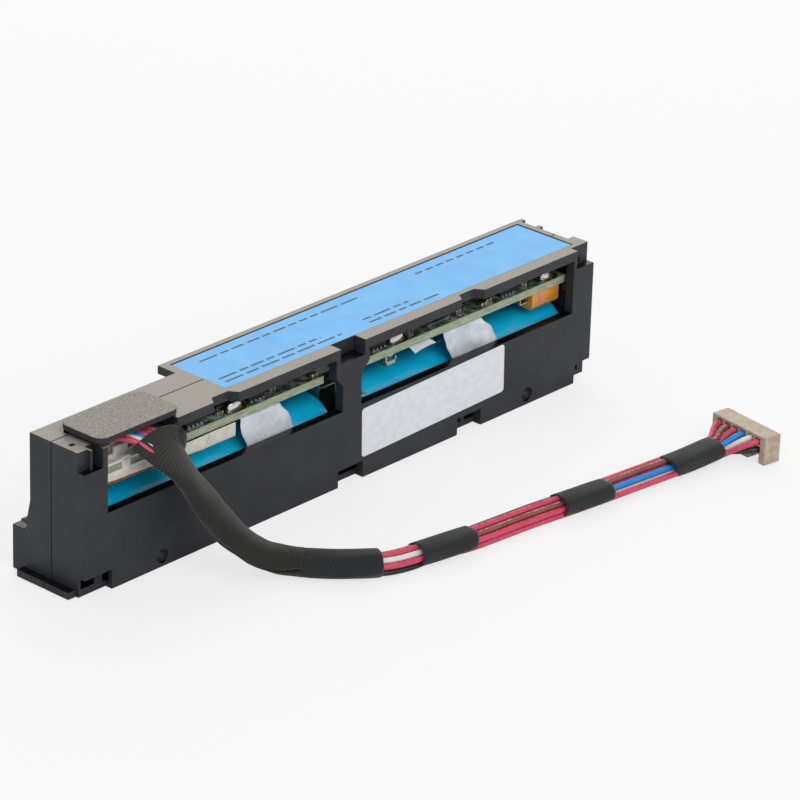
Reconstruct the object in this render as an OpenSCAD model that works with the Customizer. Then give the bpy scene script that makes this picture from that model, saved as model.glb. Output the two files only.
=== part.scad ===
// Battery module for a server's storage controller: two cells and a circuit board in a two-part
// moulded case, with a short wire harness that leaves it under a lid.
// Sizes are in millimetres. Pieces are placed from the case's front left bottom corner: X runs
// along the case, Y from the front wall to the back, and Z up. at_case() moves them to the frame,
// whose origin is the middle of the case's foot.

/* [Case] */
// Height of the case
case_h = 30; // [29.5:0.1:34]
// Thickness of the front wall
wall = 2.1; // [1.6:0.1:2.6]
// Thickness of the wall behind and under the cells
thin_wall = 1.3; // [1:0.1:1.6]
// Thickness of the top plate
top_t = 2.1; // [1.6:0.1:2.4]
// Depth of the case above the cells
upper_d = 14.8; // [13.8:0.1:15.6]
// Distance of the seam between the two shells from the front face
seam_y = 9; // [8:0.1:10]
// Width of the seam's groove
seam_gap = 0.16; // [0.1:0.02:0.26]
// Left end of the top flange at the back
flange_x = 38.4; // [30:0.1:50]
// Thickness of the top flange
flange_t = 1.8; // [1.2:0.1:2]
// How far the tongue stands out of the left end
tongue_l = 2; // [1:0.1:3]
// Height of the tongue
tongue_h = 1.5; // [1:0.1:2]

/* [Windows] */
// Height of the sill under the two windows
sill_z = 16.3; // [15.8:0.1:17.5]
// Left edge of the left window
window_x = 6.1; // [5.8:0.1:7]
// Distance of the right window's edge from the right end of the case
window_end = 6.3; // [5.5:0.1:8]
// Width of the pillar between the windows, below its shoulders
pillar_w = 5.3; // [4:0.1:7]
// Width of each shoulder of the pillar
shoulder_w = 2.1; // [1:0.1:3]

/* [Notches] */
// Width of the clip notches in the foot of the front wall
clip_w = 7.1; // [5:0.1:8]
// Height of the clip notches
clip_h = 3.6; // [2.5:0.1:4.5]
// Distance of the outer edge notches and the right clip notch from the case's ends, at their middle
notch_inset = 37.5; // [36:0.1:40]
// Width of the notches in the front edge of the top plate
edge_notch_w = 7; // [5:0.1:9]
// Depth of those notches
edge_notch_d = 1.9; // [1:0.1:2]

/* [Lid] */
// Length of the lid over the cable exit
lid_l = 20.8; // [20:0.1:24]
// Depth of the lid, front to back
lid_d = 11; // [10:0.1:12]
// Height of the lid above the top plate
lid_h = 2.1; // [2:0.1:3]
// Thickness of the lid's plate
lid_t = 1.4; // [1:0.1:1.4]
// Left edge of the lid
lid_x = 3.8; // [3:0.1:4.5]
// Radius of the lid's corners
lid_r = 2.4; // [1:0.1:3]

/* [Cells] */
// Outer diameter of a cell in its sleeve
cell_d = 15.9; // [15.4:0.1:16.3]
// Length of a cell
cell_l = 64.4; // [62:0.1:68]
// Thickness of a cell's plastic sleeve
sleeve_t = 0.15; // [0.1:0.01:0.3]
// Clearance of the cells in the case
cell_clear = 0.15; // [0.1:0.01:0.25]
// Distance of the left cell from the left end of the case
cell_x = 6.5; // [6.3:0.1:7.5]
// Distance between the two cells
cell_gap = 5.3; // [4.5:0.1:7]
// Distance of the right cell from the right end of the case
cell_end = 5; // [4.9:0.1:7]
// Width of the nickel tabs
tab_w = 4.6; // [3:0.1:5]
// Thickness of the nickel tabs
tab_t = 0.25; // [0.15:0.01:0.3]

/* [Circuit board] */
// Depth of the circuit board's top face below the top of the case
board_drop = 6; // [5.8:0.1:7]
// Thickness of the circuit board
board_t = 1.6; // [1:0.1:1.8]
// Distance of the board's front edge from the inside of the front wall
board_gap = 0.8; // [0.6:0.1:1.2]
// Length of a solder slot in the board
slot_l = 4.4; // [3.6:0.1:5]
// Width of a solder slot
slot_w = 1.4; // [1:0.1:1.8]

/* [Labels] */
// Thickness of the top label
top_label_t = 0.15; // [0.1:0.01:0.25]
// Depth of the recess for the top label
label_recess = 0.3; // [0.26:0.01:0.5]
// Left end of the top label
top_label_x = 40.6; // [40:0.1:60]
// Length of the side label
side_label_l = 42.4; // [30:0.1:44]
// Height of the side label
side_label_h = 10.6; // [8:0.1:10.8]
// Thickness of the side label
side_label_t = 0.1; // [0.05:0.01:0.15]

/* [Cable] */
// Outer diameter of one wire
wire_d = 1.14; // [1:0.02:1.2]
// Diameter of the cloth wrap at the end of the cable's sleeve
wrap_d = 5.4; // [4.8:0.1:5.4]
// Diameter of the tape bands
band_d = 4.8; // [4.4:0.1:4.8]
// Width of the bundle of wires between the bands
bundle_w = 4.4; // [4.2:0.1:4.6]
// Height of the bundle of wires between the bands
bundle_h = 3.8; // [3.6:0.1:4.2]

/* [Connector] */
// Length of the connector
connector_l = 15.6; // [14.6:0.1:18]
// Height of the connector
connector_h = 6; // [5.7:0.1:7]
// Depth of the connector, along the wires
connector_d = 4.2; // [3.5:0.1:6]
// Distance between two contacts of a row
contact_pitch = 2.25; // [2:0.05:2.3]
// Width of a contact's cavity
cavity_w = 1.4; // [1.3:0.05:1.5]

/* [Hidden] */
$fn = 48;

// Cells, and the case round them
cell_r = cell_d / 2;
can_clear = 0.05;
can_r = cell_r - sleeve_t - can_clear;
room_r = cell_r + cell_clear;
axis_y = wall + room_r;
axis_z = thin_wall + room_r;
lip_t = 0.2;
lip_r = 5.6;
button_r = 3.3;
button_h = 0.5;
ring_t = 0.15;
left_cell_end = cell_x + cell_l;
right_cell_x = left_cell_end + cell_gap;
right_cell_end = right_cell_x + cell_l;
case_l = right_cell_end + cell_end;
case_d = axis_y + room_r + thin_wall;
upper_back = upper_d - wall;
top_in = case_h - top_t;
window_right = case_l - window_end;
pillar_x = left_cell_end + 2;
pillar_left = pillar_x - pillar_w / 2;
pillar_right = pillar_x + pillar_w / 2;
room_x = cell_x - 0.9;
room_end = case_l - 3.9;
body_x = room_x - 0.6;
rib_t = 1.2;
exit_x = window_x;
exit_end = lid_x + lid_l - 0.3;
exit_d = lid_d - 1.6;

// Circuit board
board_z = case_h - board_drop;
board_low = board_z - board_t;
board_y = wall + board_gap;
board_back = upper_back - 0.3;
board_x = cell_x + 0.1;
board_end = room_end - 1.6;
notch_x = pillar_x - 5.3;
notch_end = pillar_x + 2.1;
notch_d = 3.4;
slots_x = [left_cell_end - 26.6, right_cell_x + 14.2, board_end - 4.1];
slot_y = board_y + 2.2;
tab_y = board_back - tab_w / 2 - 0.3;
header = [12.8, 4.4, 2.6];
header_x = board_x + 0.6;
header_y = board_y + 1.3;
header_wall = 0.8;
header_end = header_x + header.x;

// Thermal cut-off, in the corner between the right cell and the board
cutoff_x = board_end - 9.6;
cutoff_y = board_y + 0.5;
cutoff_d = 3.8;
cell_top_there = axis_z + sqrt(pow(cell_r, 2) - pow(axis_y - cutoff_y - cutoff_d, 2));
cutoff = [8.4, cutoff_d, board_low - 0.1 - cell_top_there - 1.5];

// Cable: points of its route from the plug inside the case to the last band, each hand-set
ROUTE = [
    [13.4, 6.2, 28.1], [13.5, 5.5, 29.1], [13.9, 3.2, 29.5], [14.9, 0.6, 29.3],
    [16.6, -1.5, 28.2], [18.7, -3.1, 25], [21, -4.5, 21.3], [23, -6.4, 17.4], [24.9, -9.3, 13],
    [27, -12.4, 9], [30, -15, 5.6], [33.5, -17.6, 3.5], [36.8, -21.4, 2.9], [41.2, -26.7, 2.8],
    [46.8, -31.4, 2.8], [51.4, -32.9, 2.5], [55.4, -33.7, 2.5], [61.4, -34.9, 2.5],
    [67.4, -36, 2.5], [76, -36.9, 2.5], [84, -37.7, 2.5], [91.2, -38.8, 2.5], [96.8, -39.8, 2.5],
    [102.5, -40.7, 2.5], [111.5, -41.7, 2.5], [120.3, -42.7, 2.5], [126.9, -43.3, 2.5],
    [133.3, -43.6, 2.5]
];
// Places along the route, counted in its points
mouth_u = 4;
wrap_u = 12;
sleeve_end_u = 14;
bands_u = [[16, 18], [21, 23], [25, 27]];
// Width and thickness of the cable at the plug, under the lid, at the sleeve's mouth and at its knee
plug_end = [9.4, 1.6];
flat_end = [9.4, 2.4];
mouth = [13, 3.4];
knee = [7.4, 5];
knee_u = 8;
bundle = [bundle_w, bundle_h];

// Connector: the middle of its wire face on the surface that it stands on, and its turn
CONNECTOR_AT = [139, -45, 0];
connector_turn = -8.6;
columns = 6;
row_z = [4.7, 2.9];
wire_in = 0.8;
// Each wire's place in the bundle and its cavity: [across, up, column, row]
WIRES = [
    [1.86, -0.78, 0, 0], [1.25, 0.82, 1, 0], [0.62, -0.78, 2, 0], [0, 0.82, 3, 0],
    [-0.62, -0.78, 4, 0], [-1.25, 0.82, 5, 0], [-1.88, -0.78, 5, 1]
];

module at_case() {
    translate([-(case_l - tongue_l) / 2, -(case_d - side_label_t) / 2, 0]) children();
}

// A profile drawn in X and Z, from y0 to y1
module along_y(y0, y1) {
    translate([0, y1, 0]) rotate([90, 0, 0]) linear_extrude(y1 - y0) children();
}

// A profile drawn in Y and Z, from x0 to x1
module along_x(x0, x1) {
    translate([x0, 0, 0]) rotate([90, 0, 90]) linear_extrude(x1 - x0) children();
}

module block(low, high) {
    translate(low) cube(high - low);
}

module rounded(size, r) {
    union() {
        translate([r, 0]) square([size.x - 2 * r, size.y]);
        translate([0, r]) square([size.x, size.y - 2 * r]);
        for (x = [r, size.x - r], y = [r, size.y - r]) translate([x, y]) circle(r);
    }
}

// A slot with round ends, its middle at the origin
module capsule(l, w) {
    square([l - w, w], center = true);
    for (s = [-1, 1]) translate([s * (l - w) / 2, 0]) circle(w / 2, $fn = 24);
}

// ---- Case ----

// The left end seen along X: a straight back over an ear, with a hook between them
module end_profile() {
    ear_h = 9.3;
    ear_w = 3.3;
    difference() {
        polygon([
            [0, 0], [case_d, 0], [case_d, ear_h], [case_d - ear_w, ear_h],
            [case_d - ear_w, ear_h + 1.3], [case_d - 2.3, ear_h + 1.3], [case_d - 2.3, ear_h + 1.9],
            [upper_d + 0.9, ear_h + 2.5], [upper_d, axis_z + 6.4], [upper_d, case_h], [0, case_h]
        ]);
        translate([case_d - ear_w, ear_h + 0.6]) circle(0.7, $fn = 24);
    }
}

// The body seen along X: round behind the cells, and straight above them
module body_profile() {
    square([case_d, axis_z]);
    translate([axis_y, axis_z]) circle(room_r + thin_wall);
    square([upper_d, case_h]);
}

// Cut-out in the front edge of the top plate, with slanted sides
module edge_notch(x) {
    slant = 1.3;
    low = [x - edge_notch_w / 2, -1];
    translate([0, 0, top_in - 1]) linear_extrude(top_t + 2) polygon([
        low, [x - edge_notch_w / 2, 0], [x - edge_notch_w / 2 + slant, edge_notch_d],
        [x + edge_notch_w / 2 - slant, edge_notch_d], [x + edge_notch_w / 2, 0],
        [x + edge_notch_w / 2, -1]
    ]);
}

module windows() {
    along_y(-1, wall) polygon([
        [window_x, sill_z], [pillar_left, sill_z], [pillar_left, top_in - 6.2],
        [pillar_left - shoulder_w, top_in - 4], [pillar_left - shoulder_w, top_in],
        [exit_end, top_in], [exit_end, case_h + 1], [window_x, case_h + 1]
    ]);
    along_y(-1, wall) polygon([
        [pillar_right, sill_z], [window_right, sill_z], [window_right, top_in],
        [pillar_right + shoulder_w, top_in], [pillar_right + shoulder_w, top_in - 2.7],
        [pillar_right, top_in - 4.8]
    ]);
}

// Rooms inside the case: one along the cells, bays between ribs under them, and one over them
module rooms() {
    ribs = [
        for (c = [cell_x, right_cell_x], k = [0.04, 0.5, 0.96]) c + k * cell_l
    ];
    translate([cell_x - 0.2, axis_y, axis_z]) rotate([0, 90, 0])
        cylinder(r = room_r, h = room_end - cell_x + 0.2);
    for (i = [0 : len(ribs) - 2])
        block([ribs[i] + rib_t / 2, wall, thin_wall],
            [ribs[i + 1] - rib_t / 2, case_d - thin_wall, axis_z]);
    block([room_x, wall, axis_z], [room_end, upper_back, top_in]);
    // Places for the end tabs
    block([room_x, tab_y - tab_w / 2 - 0.3, axis_z - 4.5], [cell_x, upper_back, axis_z + 1]);
    block([right_cell_end, tab_y - tab_w / 2 - 0.3, axis_z - 4.5],
        [room_end, upper_back, axis_z + 1]);
    // The left clip notch opens into the first bay
    block([cell_x - 0.2, wall - 1, thin_wall], [cell_x + 3, axis_y, clip_h]);
}

module clip_notches() {
    cut = [clip_w, wall + 1, clip_h + 1];
    translate([-0.01, -1, -1]) cube(cut + [0, -0.4, 0.5]);
    for (x = [pillar_x, case_l - notch_inset]) translate([x - clip_w / 2, -1, -1]) cube(cut);
}

// Recesses in the corners of the case where the holder's clips sit
module corner_cuts() {
    step_x = case_l - 5.3;
    // Upper left corner, in two steps
    block([-1, -1, case_h - 4], [2.5, edge_notch_d, case_h + 1]);
    block([3, -1, case_h - 4], [4.9, 3.2, case_h + 1]);
    // Upper right corner, over the ear
    block([step_x, -1, case_h - 4.1], [case_l + 1, edge_notch_d, case_h + 1]);
    block([step_x, -1, case_h - 3.8], [case_l - 2.4, 4, case_h - 1.3]);
    // Steps under the right end
    block([case_l - 2.1, -1, -1], [case_l + 1, case_d + 1, 4.3]);
    block([case_l - 4.8, -1, -1], [case_l + 1, case_d + 1, 1.8]);
    // Right end of the top plate behind the corner block
    block([case_l - 1.8, 5.8, case_h - 3.5], [case_l + 1, case_d + 1, case_h + 1]);
}

module top_flange() {
    low_z = case_h - flange_t;
    block([flange_x, upper_d - 1, low_z], [case_l - 1.8, case_d, case_h]);
    for (x = [flange_x + 12 : 24 : case_l - 8]) along_x(x, x + rib_t)
        polygon([[upper_d - 1, axis_z + 9], [upper_d - 1, case_h - 1], [case_d - 0.6, low_z + 0.5],
            [case_d - 0.6, low_z - 0.8]]);
    // Two small pegs at the right end
    for (y = [case_d - 6, case_d - 1.2]) block([case_l - 2.5, y, case_h - 1.4],
        [case_l, y + 1.1, case_h]);
}

module tongue() {
    block([-tongue_l, 2.4, 0], [1, case_d - 3.2, tongue_h]);
}

// Round recesses near the foot, each with the end of a moulded pin in it
module pin_recess(x, z) {
    translate([x, 0.7, z]) rotate([90, 0, 0]) difference() {
        cylinder(r = 1.05, h = 2);
        cylinder(r = 0.55, h = 0.35);
    }
}

module case_solid() {
    difference() {
        union() {
            along_x(0, body_x) end_profile();
            along_x(body_x - 0.01, case_l) body_profile();
            top_flange();
            tongue();
        }
        difference() {
            rooms();
            pocket_housing();
            board_ledges();
        }
        windows();
        clip_notches();
        corner_cuts();
        // Cable exit under the lid
        block([exit_x, -1, top_in - 1], [exit_end, exit_d, case_h + 1]);
        edge_notch(notch_inset);
        edge_notch(case_l - notch_inset);
        edge_notch(pillar_x - 0.1);
        // Pocket in the top of the pillar
        block([pillar_x - 3.5, -1, case_h - 3.2], [pillar_x + 3.4, 3.4, case_h + 1]);
        // Recess for the top label
        block([top_label_x - 0.15, 3.1, case_h - label_recess],
            [case_l - 3.4, case_d - 1.4, case_h + 1]);
        pin_recess(20.5, 2.3);
        pin_recess(case_l - 19.8, 2.7);
        block([case_l - 4.5, -1, 2.9], [case_l - 3.9, 1.5, 4]);
        block([1.3, 4.9, case_h - 3], [2.5, 5.8, case_h + 1]);
    }
}

// Walls of the pocket in the top of the pillar, inside the case
module pocket_housing() {
    block([pillar_x - 4.4, wall - 0.01, case_h - 4.2], [pillar_x + 4.3, 4.3, top_in + 0.01]);
}

// Ledges that carry the back edge and the ends of the circuit board
module board_ledges() {
    z1 = board_low - 0.1;
    for (c = [cell_x, right_cell_x], k = [0.2, 0.5, 0.8]) block(
        [c + k * cell_l, board_back - 1.2, z1 - 1.6], [c + k * cell_l + 3, upper_back + 0.01, z1]);
    block([room_x - 0.01, wall - 0.01, z1 - 1.6], [board_x + 0.6, 5.4, z1]);
    block([board_end - 0.6, wall - 0.01, z1 - 1.6], [room_end + 0.01, 3.4, z1]);
}

module front_shell() {
    color("#3f4043") at_case() intersection() {
        case_solid();
        block([-10, -10, -1], [case_l + 10, seam_y - seam_gap / 2, case_h + 10]);
    }
}

module back_shell() {
    lip = [12, 1.4];
    lips_x = [left_cell_end - 24.9, right_cell_x + 18.8, right_cell_end - 14.6];
    color("#3b3c3f") at_case() {
        intersection() {
            case_solid();
            block([-10, seam_y + seam_gap / 2, -1], [case_l + 10, case_d + 10, case_h + 10]);
        }
        // Tongues behind the seam, which locate the front shell
        for (x = lips_x) block([x, seam_y - lip.y, top_in - 1], [x + lip.x, seam_y + 1.5,
            top_in - 0.1]);
        for (x = lips_x) block([x, seam_y + seam_gap / 2, top_in - 0.2],
            [x + lip.x, seam_y + 1.5, top_in + 0.1]);
    }
}

module cable_lid() {
    color("#77736c") at_case() translate([lid_x, 0, case_h]) difference() {
        union() {
            linear_extrude(lid_h) rounded([lid_l, lid_d], lid_r);
            // Tongue that hooks into the left edge of the exit
            translate([exit_x - lid_x + 0.1, 3.4, -1.6]) cube([0.8, 5, 1.7]);
        }
        translate([exit_x - lid_x + 0.9, -1, -0.01])
            cube([exit_end - exit_x - 1.5, exit_d - 0.1, lid_h - lid_t]);
    }
}

// ---- Cells ----

// A cell's can, with its groove and button at the right end
module can(x) {
    bead_x = cell_l - 3.6;
    translate([x, axis_y, axis_z]) rotate([0, 90, 0]) rotate_extrude() polygon([
        [0, lip_t], [can_r - 0.4, lip_t], [can_r, lip_t + 0.4], [can_r, bead_x - 0.6],
        [can_r - 0.5, bead_x - 0.3], [can_r - 0.5, bead_x + 0.3], [can_r, bead_x + 0.6],
        [can_r, cell_l - lip_t - 0.5], [can_r - 0.5, cell_l - lip_t], [button_r, cell_l - lip_t],
        [button_r, cell_l - lip_t + button_h], [0, cell_l - lip_t + button_h]
    ]);
}

// The shrunk plastic sleeve round a cell, with a lip over each end
module can_sleeve(x) {
    translate([x, axis_y, axis_z]) rotate([0, 90, 0]) rotate_extrude() polygon([
        [lip_r, 0], [cell_r - 0.5, 0], [cell_r, 0.5], [cell_r, cell_l - 0.5],
        [cell_r - 0.5, cell_l], [lip_r, cell_l], [lip_r, cell_l - lip_t + can_clear],
        [can_r - 0.4, cell_l - lip_t + can_clear], [cell_r - sleeve_t, cell_l - lip_t - 0.45],
        [cell_r - sleeve_t, lip_t + 0.35], [can_r - 0.35, lip_t - can_clear],
        [lip_r, lip_t - can_clear]
    ]);
}

module left_cell() {
    color("#c9ccce") at_case() can(cell_x);
}

module right_cell() {
    color("#c9ccce") at_case() can(right_cell_x);
}

module left_cell_sleeve() {
    color("#00a6e8") at_case() can_sleeve(cell_x);
}

module right_cell_sleeve() {
    color("#00a6e8") at_case() can_sleeve(right_cell_x);
}

// Paper rings on the button ends
module end_insulators() {
    color("#e8e4d6") at_case() for (x = [left_cell_end, right_cell_end])
        translate([x, axis_y, axis_z]) rotate([0, 90, 0]) difference() {
            cylinder(r = cell_r - 1, h = ring_t);
            translate([0, 0, -1]) cylinder(r = button_r + 0.4, h = 3);
        }
}

// A tab against a flat end, from x to x + tab_t, with two weld spots of length s towards side
module end_strip(x, z1, s, side) {
    block([x, tab_y - tab_w / 2, axis_z - 3.6], [x + tab_t, tab_y + tab_w / 2, z1]);
    if (s > 0) for (z = [-2, 1]) translate([side > 0 ? x + tab_t : x - s, axis_y, axis_z + z])
        rotate([0, 90, 0]) cylinder(r = 0.7, h = s);
}

// Folded end of a tab, under the circuit board
module board_fold(x0, x1) {
    z1 = board_low - 0.05;
    block([x0, tab_y - tab_w / 2, z1 - tab_t], [x1, tab_y + tab_w / 2, z1]);
}

module left_end_tab() {
    x = cell_x - 0.06 - tab_t;
    color("#c8c6bd") at_case() {
        end_strip(x, board_low - 0.05, lip_t + 0.05, 1);
        board_fold(x, cell_x + 4);
    }
}

module right_end_tab() {
    x = right_cell_end - lip_t + button_h + 0.02;
    color("#c8c6bd") at_case() {
        end_strip(x, board_low - 0.05, 0, 1);
        board_fold(right_cell_end - 3.5, x + tab_t);
    }
}

// Tab that joins the left cell's button to the right cell's base, with a tail to the board
module series_tab() {
    x0 = left_cell_end - lip_t + button_h + 0.02;
    x1 = right_cell_x - 0.06 - tab_t;
    bridge_z = axis_z + cell_r + 1.2;
    color("#c8c6bd") at_case() {
        end_strip(x0, bridge_z, 0, 1);
        end_strip(x1, bridge_z, lip_t + 0.05, 1);
        block([x0, tab_y - tab_w / 2, bridge_z - tab_t], [x1 + tab_t, tab_y + tab_w / 2, bridge_z]);
        block([x0, tab_y - tab_w / 2, bridge_z - 1], [x0 + tab_t, tab_y + tab_w / 2,
            board_low - 0.05]);
    }
}

// ---- Circuit board ----

module circuit_board() {
    color("#8fa393") at_case() translate([0, 0, board_low]) linear_extrude(board_t) difference() {
        translate([board_x, board_y]) square([board_end - board_x, board_back - board_y]);
        translate([notch_x, board_y - 1]) square([notch_end - notch_x, notch_d + 1]);
        for (x = slots_x) translate([x, slot_y]) capsule(slot_l, slot_w);
    }
}

// Upright header that the harness plugs into, with two slots in its front wall
module board_header() {
    slot_w = 2.6;
    slot_inset = 2;
    color("#f1efe9") at_case() translate([header_x, header_y, board_z]) difference() {
        cube(header);
        translate([header_wall, header_wall, 0.7])
            cube(header - [2 * header_wall, 2 * header_wall, 0]);
        for (x = [slot_inset, header.x - slot_inset - slot_w])
            translate([x, -1, 1.2]) cube([slot_w, header.y, header.z]);
    }
}

// Plug of the harness, with a slot in its top that the wires go into
module harness_plug() {
    clear = 0.1;
    body = [header.x - 2 * (header_wall + clear), header.y - 2 * (header_wall + clear), 2.9];
    groove = 1.2;
    color("#b9a58f") at_case()
        translate([header_x + header_wall + clear, header_y + header_wall + clear, board_z + 0.8])
            difference() {
                union() {
                    cube(body);
                    translate([0.4, -0.3, 1.9]) cube([body.x - 0.8, body.y + 0.6, 1]);
                }
                translate([0.5, (body.y - groove) / 2, 2]) cube([body.x - 1, groove, 2]);
            }
}

// A flat chip with its pins on the two long sides
module chip(at, size, pins) {
    pitch = size.x / pins;
    translate([at.x, at.y, board_z]) {
        translate([0, 0, 0.1]) cube(size);
        for (i = [0 : pins - 1], s = [0, 1])
            translate([pitch * (i + 0.3), s ? size.y - 0.1 : -0.5, 0])
                cube([pitch * 0.4, 0.6, 0.35]);
    }
}

// Places on the board's three stretches: up to the first slot, after it, and between the others
function left_place(k) = header_end + k * (slots_x[0] - header_end);
function middle_place(x) = slots_x[0] + x;
function right_place(k) = slots_x[1] + k * (slots_x[2] - slots_x[1]);

module gauge_chip() {
    color("#26272a") at_case() chip([middle_place(13.9), board_y + 3.3], [6.5, 4.2, 0.9], 9);
}

module power_transistors() {
    places = [left_place(0.449), middle_place(3.7), right_cell_x + 6.4, right_place(0.675)];
    color("#2b2c2f") at_case() for (x = places) chip([x, board_y + 1.3], [4.4, 3, 1.1], 4);
}

module sense_resistor() {
    color("#8c8f93") at_case() translate([right_place(0.193), board_y + 1.2, board_z]) {
        translate([0, 0, 0.15]) cube([6.3, 3, 0.5]);
        for (x = [-0.1, 5.3]) translate([x, -0.05, 0]) cube([1.1, 3.1, 0.8]);
    }
}

// A chip part with its two metal ends
module chip_part(at, size) {
    translate([at.x, at.y, board_z]) {
        translate([0.2, 0.05, 0.05]) cube(size - [0.4, 0.1, 0.1]);
        for (x = [0, size.x - 0.35]) translate([x, 0, 0]) cube([0.35, size.y, size.z]);
    }
}

module chip_capacitors() {
    places = [
        left_place(0.309), left_place(0.79), middle_place(9.9), middle_place(20.7),
        right_cell_x + 3.4, right_place(0.39), right_place(0.533), right_place(0.579),
        right_place(0.829)
    ];
    color("#9c7a58") at_case() for (i = [0 : len(places) - 1])
        chip_part([places[i], board_y + 0.6 + (i % 3) * 0.5], [1.6, 0.9, 0.9]);
}

module chip_resistors() {
    places = [
        left_place(0.206), left_place(0.848), middle_place(21.9), right_cell_x + 4.6,
        right_place(0.0965), right_place(0.14), right_place(0.434), right_place(0.48),
        right_place(0.632), right_place(0.794)
    ];
    color("#303236") at_case() for (i = [0 : len(places) - 1])
        chip_part([places[i], board_y + 2.3 + (i % 2) * 1.3], [1.3, 0.8, 0.45]);
}

// Humps of solder over the board's slots
module solder_lugs() {
    color("#e6e7e6") at_case() for (x = slots_x) translate([x, slot_y, board_z]) {
        linear_extrude(0.5) capsule(slot_l - 0.4, slot_w + 0.3);
        translate([0, 0, 0.5]) linear_extrude(0.5) capsule(slot_l - 1.4, slot_w - 0.3);
    }
}

// Bent spring clip under the board, with its tail in the middle slot
module contact_clip() {
    t = 0.3;
    x1 = slots_x[1] + 1.2;
    x0 = x1 - 7.4;
    y0 = board_y + 0.4;
    z1 = board_low - 0.05;
    color("#cfccc2") at_case() {
        block([x0, y0, z1 - t], [x1, y0 + 3.2, z1]);
        block([x0, y0, z1 - 2.2], [x0 + t, y0 + 3.2, z1]);
        block([x0, y0, z1 - 2.2], [x0 + 3.4, y0 + 3.2, z1 - 2.2 + t]);
        block([x0 + 3.1, y0, z1 - 2.2], [x0 + 3.4, y0 + 3.2, z1 - 1]);
        block([x1 - 2.4, slot_y - t / 2, z1 - t], [x1 - 0.2, slot_y + t / 2, board_z - 0.05]);
    }
}

// Thermal cut-off in amber tape, under the right end of the board
module thermal_cutoff() {
    bevel = 0.6;
    color("#e89a2b") at_case() along_x(cutoff_x, cutoff_x + cutoff.x)
        translate([cutoff_y, board_low - 0.1 - cutoff.z]) polygon([
            [0, bevel], [bevel, 0], [cutoff.y - bevel, 0], [cutoff.y, bevel],
            [cutoff.y, cutoff.z], [0, cutoff.z]
        ]);
}

// Leads of the thermal cut-off: one into the right slot, one back to the right tab
module cutoff_leads() {
    t = 0.2;
    z = board_low - 0.1 - cutoff.z / 2;
    x = cutoff_x + cutoff.x;
    y0 = slot_y - 0.9;
    y1 = slot_y + 0.9;
    color("#c8c6bd") at_case() {
        block([x, y0, z], [x + 0.6, y1, z + t]);
        block([cutoff_x - 3, y0, z], [cutoff_x, y1, z + t]);
        block([cutoff_x - 3, y0, z], [cutoff_x - 3 + t, y1, board_low - 0.05]);
    }
}

// Card strip under the board's front edge, with a slit where it steps down
module insulator_strip() {
    x0 = cell_x + 0.8;
    slit_x = slots_x[0] - 9;
    x1 = slots_x[0] - 1.7;
    z1 = board_low - 0.05;
    t = 0.2;
    drop = 2.5;
    y0 = board_y - 0.4;
    color("#e3ded0") at_case() {
        block([x0 + 1.6, board_y + 1, z1 - t], [slots_x[0] - 3, board_y + 3.4, z1]);
        block([x0, y0, z1 - t], [x1, board_y + 1.1, z1]);
        along_y(y0, y0 + t) polygon([
            [x0, z1], [x0, z1 - drop], [slit_x - 0.9, z1 - drop], [slit_x, z1 - drop - 0.5],
            [slit_x + 0.3, z1 - drop], [x1, z1 - drop], [x1, z1]
        ]);
    }
}

// A sheet on the cell's front, seen along X, from angle a0 to a1 above the middle
module wrap_profile(gap, t, a0, a1) {
    r0 = cell_r + gap;
    r1 = r0 + t;
    steps = 8;
    translate([axis_y, axis_z]) polygon(concat(
        [for (i = [0 : steps]) let (a = a0 + (a1 - a0) * i / steps) [-r0 * cos(a), r0 * sin(a)]],
        [for (i = [steps : -1 : 0]) let (a = a0 + (a1 - a0) * i / steps)
            [-r1 * cos(a), r1 * sin(a)]]
    ));
}

module edge_tape() {
    color("#a5622e") at_case() along_x(cell_x + 0.6, cell_x + 10.4)
        wrap_profile(0.05, 0.2, 48, 95);
}

// Clear tape from under the board, down over the front of a cell. Its foot is shifted to the right
module draped_tape(x0, x1, shift) {
    t = 0.15;
    z1 = board_low - 0.05;
    z0 = axis_z + 3.4;
    y0 = board_y - 0.45;
    block([x0, y0, z1 - t], [x1, board_y + 4, z1]);
    along_y(y0, y0 + t) polygon([
        [x0, z1], [x0 + shift * 0.25, z1 - 3], [x0 + shift, z0], [x1 + shift, z0],
        [x1 + shift * 0.25, z1 - 3], [x1, z1]
    ]);
}

module left_tape() {
    color([0.85, 0.9, 0.95, 0.7]) at_case() draped_tape(left_cell_end - 26.9, left_cell_end - 15.9, 2.6);
}

module right_tape() {
    color([0.85, 0.9, 0.95, 0.7]) at_case() draped_tape(right_cell_x + 26.2, right_cell_x + 37.8, 4);
}

// ---- Labels ----

module top_label() {
    size = [case_l - 3.6 - top_label_x, case_d - 1.6 - 3.3];
    color("#55b4f5") at_case() translate([top_label_x, 3.3, case_h - label_recess])
        linear_extrude(top_label_t) rounded(size, 0.4);
}

module side_label() {
    color("#f4f6fb") at_case()
        translate([pillar_right + 21.5, 0, axis_z + 0.9]) rotate([90, -1.3, 0])
            linear_extrude(side_label_t) translate([-side_label_l / 2, -side_label_h / 2])
                rounded([side_label_l, side_label_h], 0.8);
}

// ---- Cable ----

function unit(v) = v / norm(v);

// Point at place u along a list of points, on a smooth curve through them
function on_curve(p, u) =
    let (n = len(p) - 1, i = min(floor(u), n - 1), t = u - i,
        a = p[max(i - 1, 0)], b = p[i], c = p[i + 1], d = p[min(i + 2, n)])
    0.5 * (2 * b + (c - a) * t + (2 * a - 5 * b + 4 * c - d) * t * t
        + (3 * b - a - 3 * c + d) * t * t * t);

function heading(p, u) =
    let (n = len(p) - 1, e = 0.02)
    unit(on_curve(p, min(u + e, n)) - on_curve(p, max(u - e, 0)));

// The level direction across the cable, and the one square to it
function across(h) = unit([-h.y, h.x, 0]);
function over(h) = cross(h, across(h));

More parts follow.
